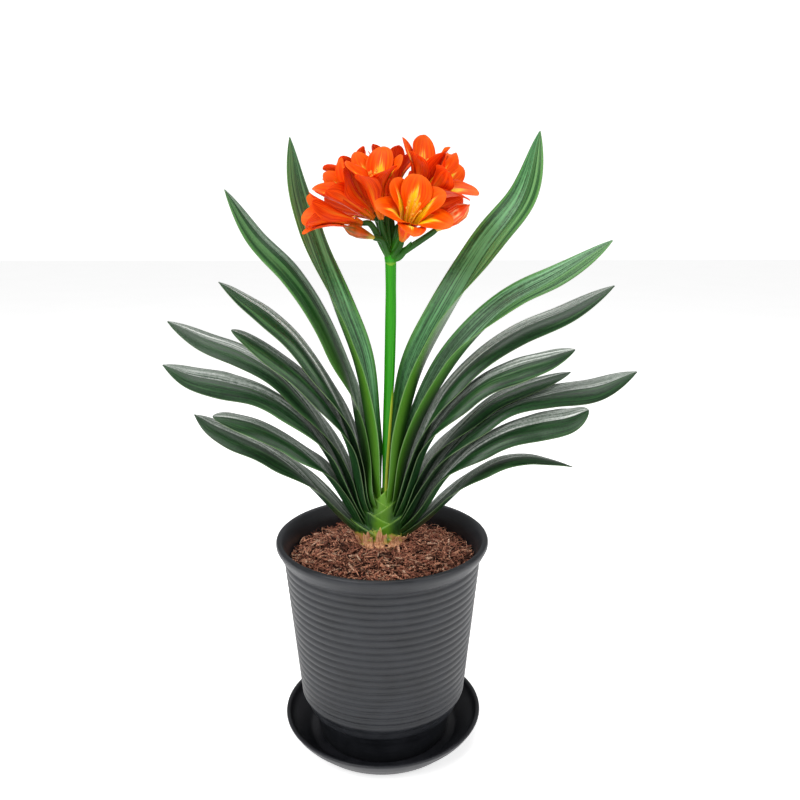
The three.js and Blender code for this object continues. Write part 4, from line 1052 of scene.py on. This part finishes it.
def part(points, sheet, triangles, side, move_sheet):
    """Parts two leaves where a point stands too low over a face of the other."""
    start = 0
    while start < len(points):
        corners = sheet[triangles]
        near = nearest_on(points[start:], corners)
        apart = points[start:, None] - near
        distance = np.linalg.norm(apart, axis=-1)
        face = distance.argmin(axis=1)
        pick = np.arange(len(face))
        corner = corners[face]
        normal = unit(np.cross(corner[:, 2] - corner[:, 1], corner[:, 0] - corner[:, 1]))
        height = side * dot(apart[pick, face], normal)
        beside = np.sqrt(np.maximum(0, distance[pick, face] ** 2 - height**2))
        close = np.flatnonzero((beside <= LEAF_BESIDE) & (height <= LEAF_CLEAR))
        move = side * (LEAF_CLEAR - height)[:, None] * normal
        if not move_sheet:
            points[start + close] += move[close]
            return
        if not len(close):
            return
        first = close[0]
        sheet[triangles[face[first]]] -= move[first]
        start += first + 1


def parted_leaves():
    """How far each leaf's coarse points move to stand clear of its neighbours."""
    placed = {}
    for name, leaf in LEAVES.items():
        rows = coarse_rows(leaf)
        flat = rows.reshape(-1, 3)
        own = leaf_triangles(len(rows), leaf["side"])
        for _ in range(LEAF_PASSES):
            for other, (other_flat, other_faces) in placed.items():
                same = LEAVES[other]["side"] == leaf["side"]
                part(flat, other_flat, other_faces, -1 if same else 1, False)
                if same:
                    part(other_flat, flat, own, 1, True)
        flat[:5] = coarse_rows(leaf)[0]
        placed[name] = (flat, own)
    return {name: flat.reshape(-1, 5, 3) - coarse_rows(LEAVES[name])
            for name, (flat, _) in placed.items()}


def eased_shift(shift, t, steps):
    """The coarse shift over the fine grid, curved along the leaf and across each half."""
    along = curve_points(shift, t)
    s = np.linspace(0, 1, steps + 1)[None, :, None]

    def across(*columns):
        middle, inner, outer = (along[:, k:k + 1] for k in columns)
        bend = 2 * outer - 4 * inner + 2 * middle
        slope = -outer + 4 * inner - 3 * middle
        return middle + slope * s + bend * s**2

    return np.concatenate([across(2, 1, 0)[:, :0:-1], across(2, 3, 4)], axis=1)


def make_leaves():
    look = leaf_look()
    shifts = parted_leaves()
    steps = LEAF_FINE_HALF
    t = np.linspace(0, 1, LEAF_FINE_ROWS + 1)
    share = np.linspace(-1, 1, 2 * steps + 1)
    thin = np.minimum(1, LEAF_THICKENING * (1 - t) + LEAF_TIP_THICKNESS)[:, None]
    margin = np.abs(share) ** LEAF_MARGIN_POWER
    thickness = thin * between((LEAF_MIDRIB_THICKNESS, LEAF_MARGIN_THICKNESS), margin)
    for number, (name, leaf) in enumerate(LEAVES.items()):
        grid = leaf_grid(leaf, t, steps, LEAF_FINE_TIP) + eased_shift(shifts[name], t, steps)
        places = triples(share, t[:, None], leaf["upright"])
        own = triples(number * LEAF_OWN_STEP % 1, np.zeros(places.shape[:2]), 0)
        values = {"blade": [places, places], "own": [own, own]}
        piece = make_object(f"{name}_blade", *blade(grid, thickness), [look], attributes=values)
        stand_for(piece, name)


# ---- flowers
def flower_axes(flower):
    """A flower's foot, its axis, and the directions to its right and upper side."""
    turn, rise = np.radians([flower["azimuth"], flower["elevation"]])
    axis = np.array([np.sin(turn) * np.cos(rise), -np.cos(turn) * np.cos(rise), np.sin(rise)])
    right = unit(np.cross([0.0, 0.0, 1.0], axis))
    return np.array(flower["base"], float), axis, right, np.cross(axis, right)


def cell_walls(bloom):
    """Walls halfway between a bloom and each neighbour, seen from the umbel's centre."""
    def heading(other):
        base, axis = flower_axes(other)[:2]
        return unit(base + axis * BLOOM_MIDDLE * other["length"] - UMBEL_CENTRE)

    own = heading(bloom)
    return [unit(heading(other) - own) for other in BLOOMS if other is not bloom]


def beyond(points, wall, margin):
    return dot(points - np.array(UMBEL_CENTRE), wall) + margin


def into_cell(points, walls, margin):
    """Presses points softly back from the walls they come near."""
    for wall in walls:
        depth = beyond(points, wall, margin) / CELL_SOFTNESS
        points = points - wall * (CELL_SOFTNESS * np.log1p(np.exp(depth)))[..., None]
    return points


def tepal_width(u, least):
    over = np.clip((u - TEPAL_TIP) / (1 - TEPAL_TIP), 0, 1)
    return np.maximum(least, keyed(TEPAL_WIDTH, u / TEPAL_FULL) * np.sqrt(1 - over**2))


def tepal_grid(bloom, number, spread, steps, half, least, waves=0.0):
    """Middle surface of a tepal: a row for each step, with half columns on each side."""
    base, axis, right, upper = flower_axes(bloom)
    turn = np.radians(bloom["spin"] + 360 / TEPAL_COUNT * number)
    outward = right * np.cos(turn) + upper * np.sin(turn)
    sideways = np.cross(axis, outward)
    inner = number % 2 == 1
    u = np.arange(steps + 1) / steps
    heading = np.radians(keyed(TEPAL_HEADING, u) * bloom["open"] * spread)
    pace = bloom["length"] / steps
    ahead = np.concatenate([[0], np.cumsum(np.cos(heading) * pace)[:-1]])
    radius = TEPAL_START_RADIUS + np.concatenate([[0], np.cumsum(np.sin(heading) * pace)[:-1]])
    step = 0 * u if inner else OUTER_TEPAL_STEP * smooth(5 * u)
    per_width = TEPAL_CUPPING * np.cos(heading) / (radius + step)
    full = bloom["width"] * (1 if inner else OUTER_TEPAL_SHARE) * tepal_width(u, least)
    width = np.minimum(full, np.radians(keyed(TEPAL_MOST_CUPPING, u)) / per_width)
    cupping = np.maximum(np.radians(TEPAL_LEAST_CUPPING), width * per_width)[:, None]
    c = np.linspace(-1, 1, 2 * half + 1)
    u, width, step, heading = (row[:, None] for row in (u, width, step, heading))
    side = width * np.sin(c * cupping) / cupping
    back = width * (1 - np.cos(c * cupping)) / cupping - step
    phase = TEPAL_WAVE_COUNT * u + TEPAL_WAVE_SHIFT * number + TEPAL_WAVE_SLANT * np.sign(c)
    back = back + waves * np.sin(2 * np.pi * phase) * c**2 * smooth(2 * u - 0.5)
    keel = np.exp(-((c / TEPAL_KEEL_WIDTH) ** 2)) * smooth(3 * u)
    back = back + TEPAL_KEEL * waves * keel
    forward = ahead[:, None] + np.sin(heading) * back
    out = radius[:, None] - np.cos(heading) * back
    return (base + forward[..., None] * axis + out[..., None] * outward
            + side[..., None] * sideways)


def tepal_spread(bloom, number, walls, margin):
    """The share of its spread at which a tepal has room among the other blooms."""
    spread = 1.0
    while spread > LEAST_SPREAD + SPREAD_STEP:
        rows = tepal_grid(bloom, number, spread, TEPAL_STEPS, 1, TEPAL_TIP_SHARE)[TEPAL_ROWS]
        if max(beyond(rows, wall, margin).max() for wall in walls) < CELL_PRESS:
            break
        spread -= SPREAD_STEP
    return spread


def add_tube(pile, bloom):
    """The short tube that the tepals stand on."""
    base, axis, right, upper = flower_axes(bloom)
    radii, heights = np.array(TUBE_PROFILE).T[..., None, None]
    angle = turns(TUBE_SIDES)[:, None]
    rings = base + heights * axis + radii * (np.cos(angle) * right + np.sin(angle) * upper)
    faces = grid_faces(len(TUBE_PROFILE), TUBE_SIDES, wrap=True, flip=True)
    pile.add(rings, faces, TUBE_PLACE, 1)


def make_bloom(number, bloom, looks, within_looks):
    pile = Pile()
    walls = cell_walls(bloom)
    c = np.linspace(-1, 1, 2 * TEPAL_FINE_HALF + 1)
    u = np.linspace(0, 1, TEPAL_FINE_ROWS + 1)[:, None]
    thickness = TEPAL_THICKNESS * between(TEPAL_THICK_ACROSS, np.abs(c))
    thickness = thickness * between(TEPAL_THICK_ALONG, u)
    middles = []
    for k in range(TEPAL_COUNT):
        margin = CELL_MARGIN + k % 2 * WHORL_MARGIN
        spread = tepal_spread(bloom, k, walls, margin)
        grid = tepal_grid(bloom, k, spread, TEPAL_FINE_ROWS, TEPAL_FINE_HALF, TEPAL_FINE_TIP,
                          TEPAL_WAVE)
        grid = into_cell(grid, walls, margin)
        middles.append(grid[:, TEPAL_FINE_HALF])
        points, faces = blade(grid, thickness)
        within = TEPAL_FINE_ROWS * 2 * TEPAL_FINE_HALF
        face_looks = [0] * within + [1] * (len(faces) - within)
        own = (TEPAL_OWN_STEPS[0] * k + TEPAL_OWN_STEPS[1] * number) % 1
        values = triples(c, u, own)
        pile.add(points, faces, [values, values], face_looks)
    add_tube(pile, bloom)
    name = f"bloom_{number}"
    stand_for(pile.make(f"{name}_tepals", looks, "tepal"), name)
    if bloom["stamens"]:
        make_stamens(name, bloom, middles, within_looks)


def make_stamens(name, bloom, middles, looks):
    """Filaments that bend outwards with an anther on each tip, and a longer style."""
    base, axis, right, _ = flower_axes(bloom)
    pile = Pile()
    middle, end = (base + axis * share * bloom["length"] for share in STYLE_SHARES)
    style = [base + axis * TUBE_LENGTH, middle, end + right * STYLE_LEAN]
    pile.add(*tube(style, STYLE_RADII, *STYLE_GRID))
    for middle in middles:
        path = [base + axis * (TUBE_LENGTH + 1)]
        for share in FILAMENT_SHARES:
            spot = middle[int(share * TEPAL_FINE_ROWS)]
            ahead = base + axis * dot(spot - base, axis)
            path.append(ahead + (spot - ahead) * FILAMENT_SPREAD)
        pile.add(*tube(path, FILAMENT_RADII, *FILAMENT_GRID))
        lean = unit(path[-1] - path[-2] + right * ANTHER_LEAN) * ANTHER_HALF
        anther = [path[-1] - lean, path[-1], path[-1] + lean]
        pile.add(*tube(anther, ANTHER_RADII, *ANTHER_GRID), look=1)
    stand_for(pile.make(f"{name}_filaments", looks), f"{name}_stamens")


def make_buds():
    look = bud_look()
    u = np.linspace(0, 1, BUD_ROWS)[:, None]
    angle = turns(BUD_SIDES)
    closing = 1 - smooth(6 * u - 5) ** 2 * BUD_CLOSING
    seams = between(BUD_SEAMS, np.abs(np.cos(BUD_LOBES * angle + BUD_TWIST * u)))
    for number, (name, bud) in enumerate(BUDS.items()):
        base, axis, right, upper = flower_axes(bud)
        radius = (bud["girth"] * straight(BUD_RADII, u) * closing * seams)[..., None]
        around = np.cos(angle)[:, None] * right + np.sin(angle)[:, None] * upper
        skin = base + axis * u[..., None] * bud["length"] + around * radius
        piece = make_object(f"{name}_skin", skin, capped_faces(BUD_ROWS, BUD_SIDES), [look],
                            attributes={"bud": triples(np.cos(angle), u, number)})
        stand_for(piece, name)


def make_scape():
    """The stalk, the head, the bract and a stalklet for each flower."""
    pile = Pile()

    def add_stem(line, radii, rows, sides, depth, kind):
        points, faces = tube(line, radii, rows, sides, depth)
        along = np.linspace(0, 1, rows)[:, None]
        pile.add(points, faces, triples(np.cos(turns(sides)), along, kind))

    for stem in (STALK, HEAD, BRACT):
        add_stem(*stem)
    for flower in [*BLOOMS, *BUDS.values()]:
        base, axis = flower_axes(flower)[:2]
        foot = base + axis * STALKLET_SINK
        bend = foot - axis * STALKLET_BEND
        low = np.array(HUB) + (bend - HUB) * STALKLET_LOW - [0, 0, 1]
        add_stem([HUB, low, bend, foot], *STALKLET)
    stand_for(pile.make("scape_stalk", [scape_look()], "stalk"), "scape")


# ---- floor, light, camera
def make_floor():
    look = Look("floor_paint", 0.9, 0.1, **FLOOR_GLOW)
    grain = look.noise(look.place(), 3, 2, 0.5)
    paint = look.ramp(grain, 0.3, 0.7, (250, 250, 250), (253, 253, 253))
    look.feed(look.shader.inputs["Base Color"], paint)
    corners = [(FLOOR_HALF * x, FLOOR_HALF * y, 0) for x, y in CORNERS]
    make_object("floor", corners, [(0, 1, 2, 3)], [look.material])


def make_light():
    """Soft lamps in a white room that looks brighter to the camera than it lights."""
    world = bpy.context.scene.world or bpy.data.worlds.new("studio")
    bpy.context.scene.world = world
    world.use_nodes = True
    nodes, links = world.node_tree.nodes, world.node_tree.links
    sky = nodes["Background"]
    sky.inputs["Color"].default_value = (1, 1, 1, 1)
    level = nodes.new("ShaderNodeMapRange")
    level.inputs["To Min"].default_value = WORLD_LIGHT
    level.inputs["To Max"].default_value = WORLD_SEEN
    seen = nodes.new("ShaderNodeLightPath").outputs["Is Camera Ray"]
    links.new(seen, level.inputs["Value"])
    links.new(level.outputs[0], sky.inputs["Strength"])
    for name, place, size, power in LAMPS:
        light = bpy.data.lights.new(name, "AREA")
        light.size = size
        light.energy = power
        lamp = bpy.data.objects.new(name, light)
        lamp.location = place
        aim = np.array(LAMP_AIM) - place
        lamp.rotation_euler = (
            np.arctan2(np.hypot(aim[0], aim[1]), -aim[2]), 0, np.arctan2(-aim[0], aim[1]))
        bpy.context.scene.collection.objects.link(lamp)


def make_camera():
    camera = bpy.data.objects.new("camera", bpy.data.cameras.new("camera"))
    camera.data.lens = CAMERA_LENS
    camera.location = CAMERA_PLACE
    camera.rotation_euler = (np.radians(90 - CAMERA_PITCH), 0, np.radians(-CAMERA_YAW))
    bpy.context.scene.collection.objects.link(camera)
    bpy.context.scene.camera = camera
    bpy.context.scene.view_settings.view_transform = "Standard"


# ---- assembly
make_turned("saucer", SAUCER_PROFILE, (24, 25, 29), (40, 41, 46), 0.42)
make_turned("pot", pot_profile(), (24, 26, 30), (42, 44, 49), 0.43)
make_soil()
make_crown()
make_leaves()
make_scape()
both_sides = [tepal_look("tepal_inside", True), tepal_look("tepal_outside", False)]
stamens = stamen_looks()
for order, flower in enumerate(BLOOMS, start=1):
    make_bloom(order, flower, both_sides, stamens)
make_buds()
make_floor()
make_light()
make_camera()
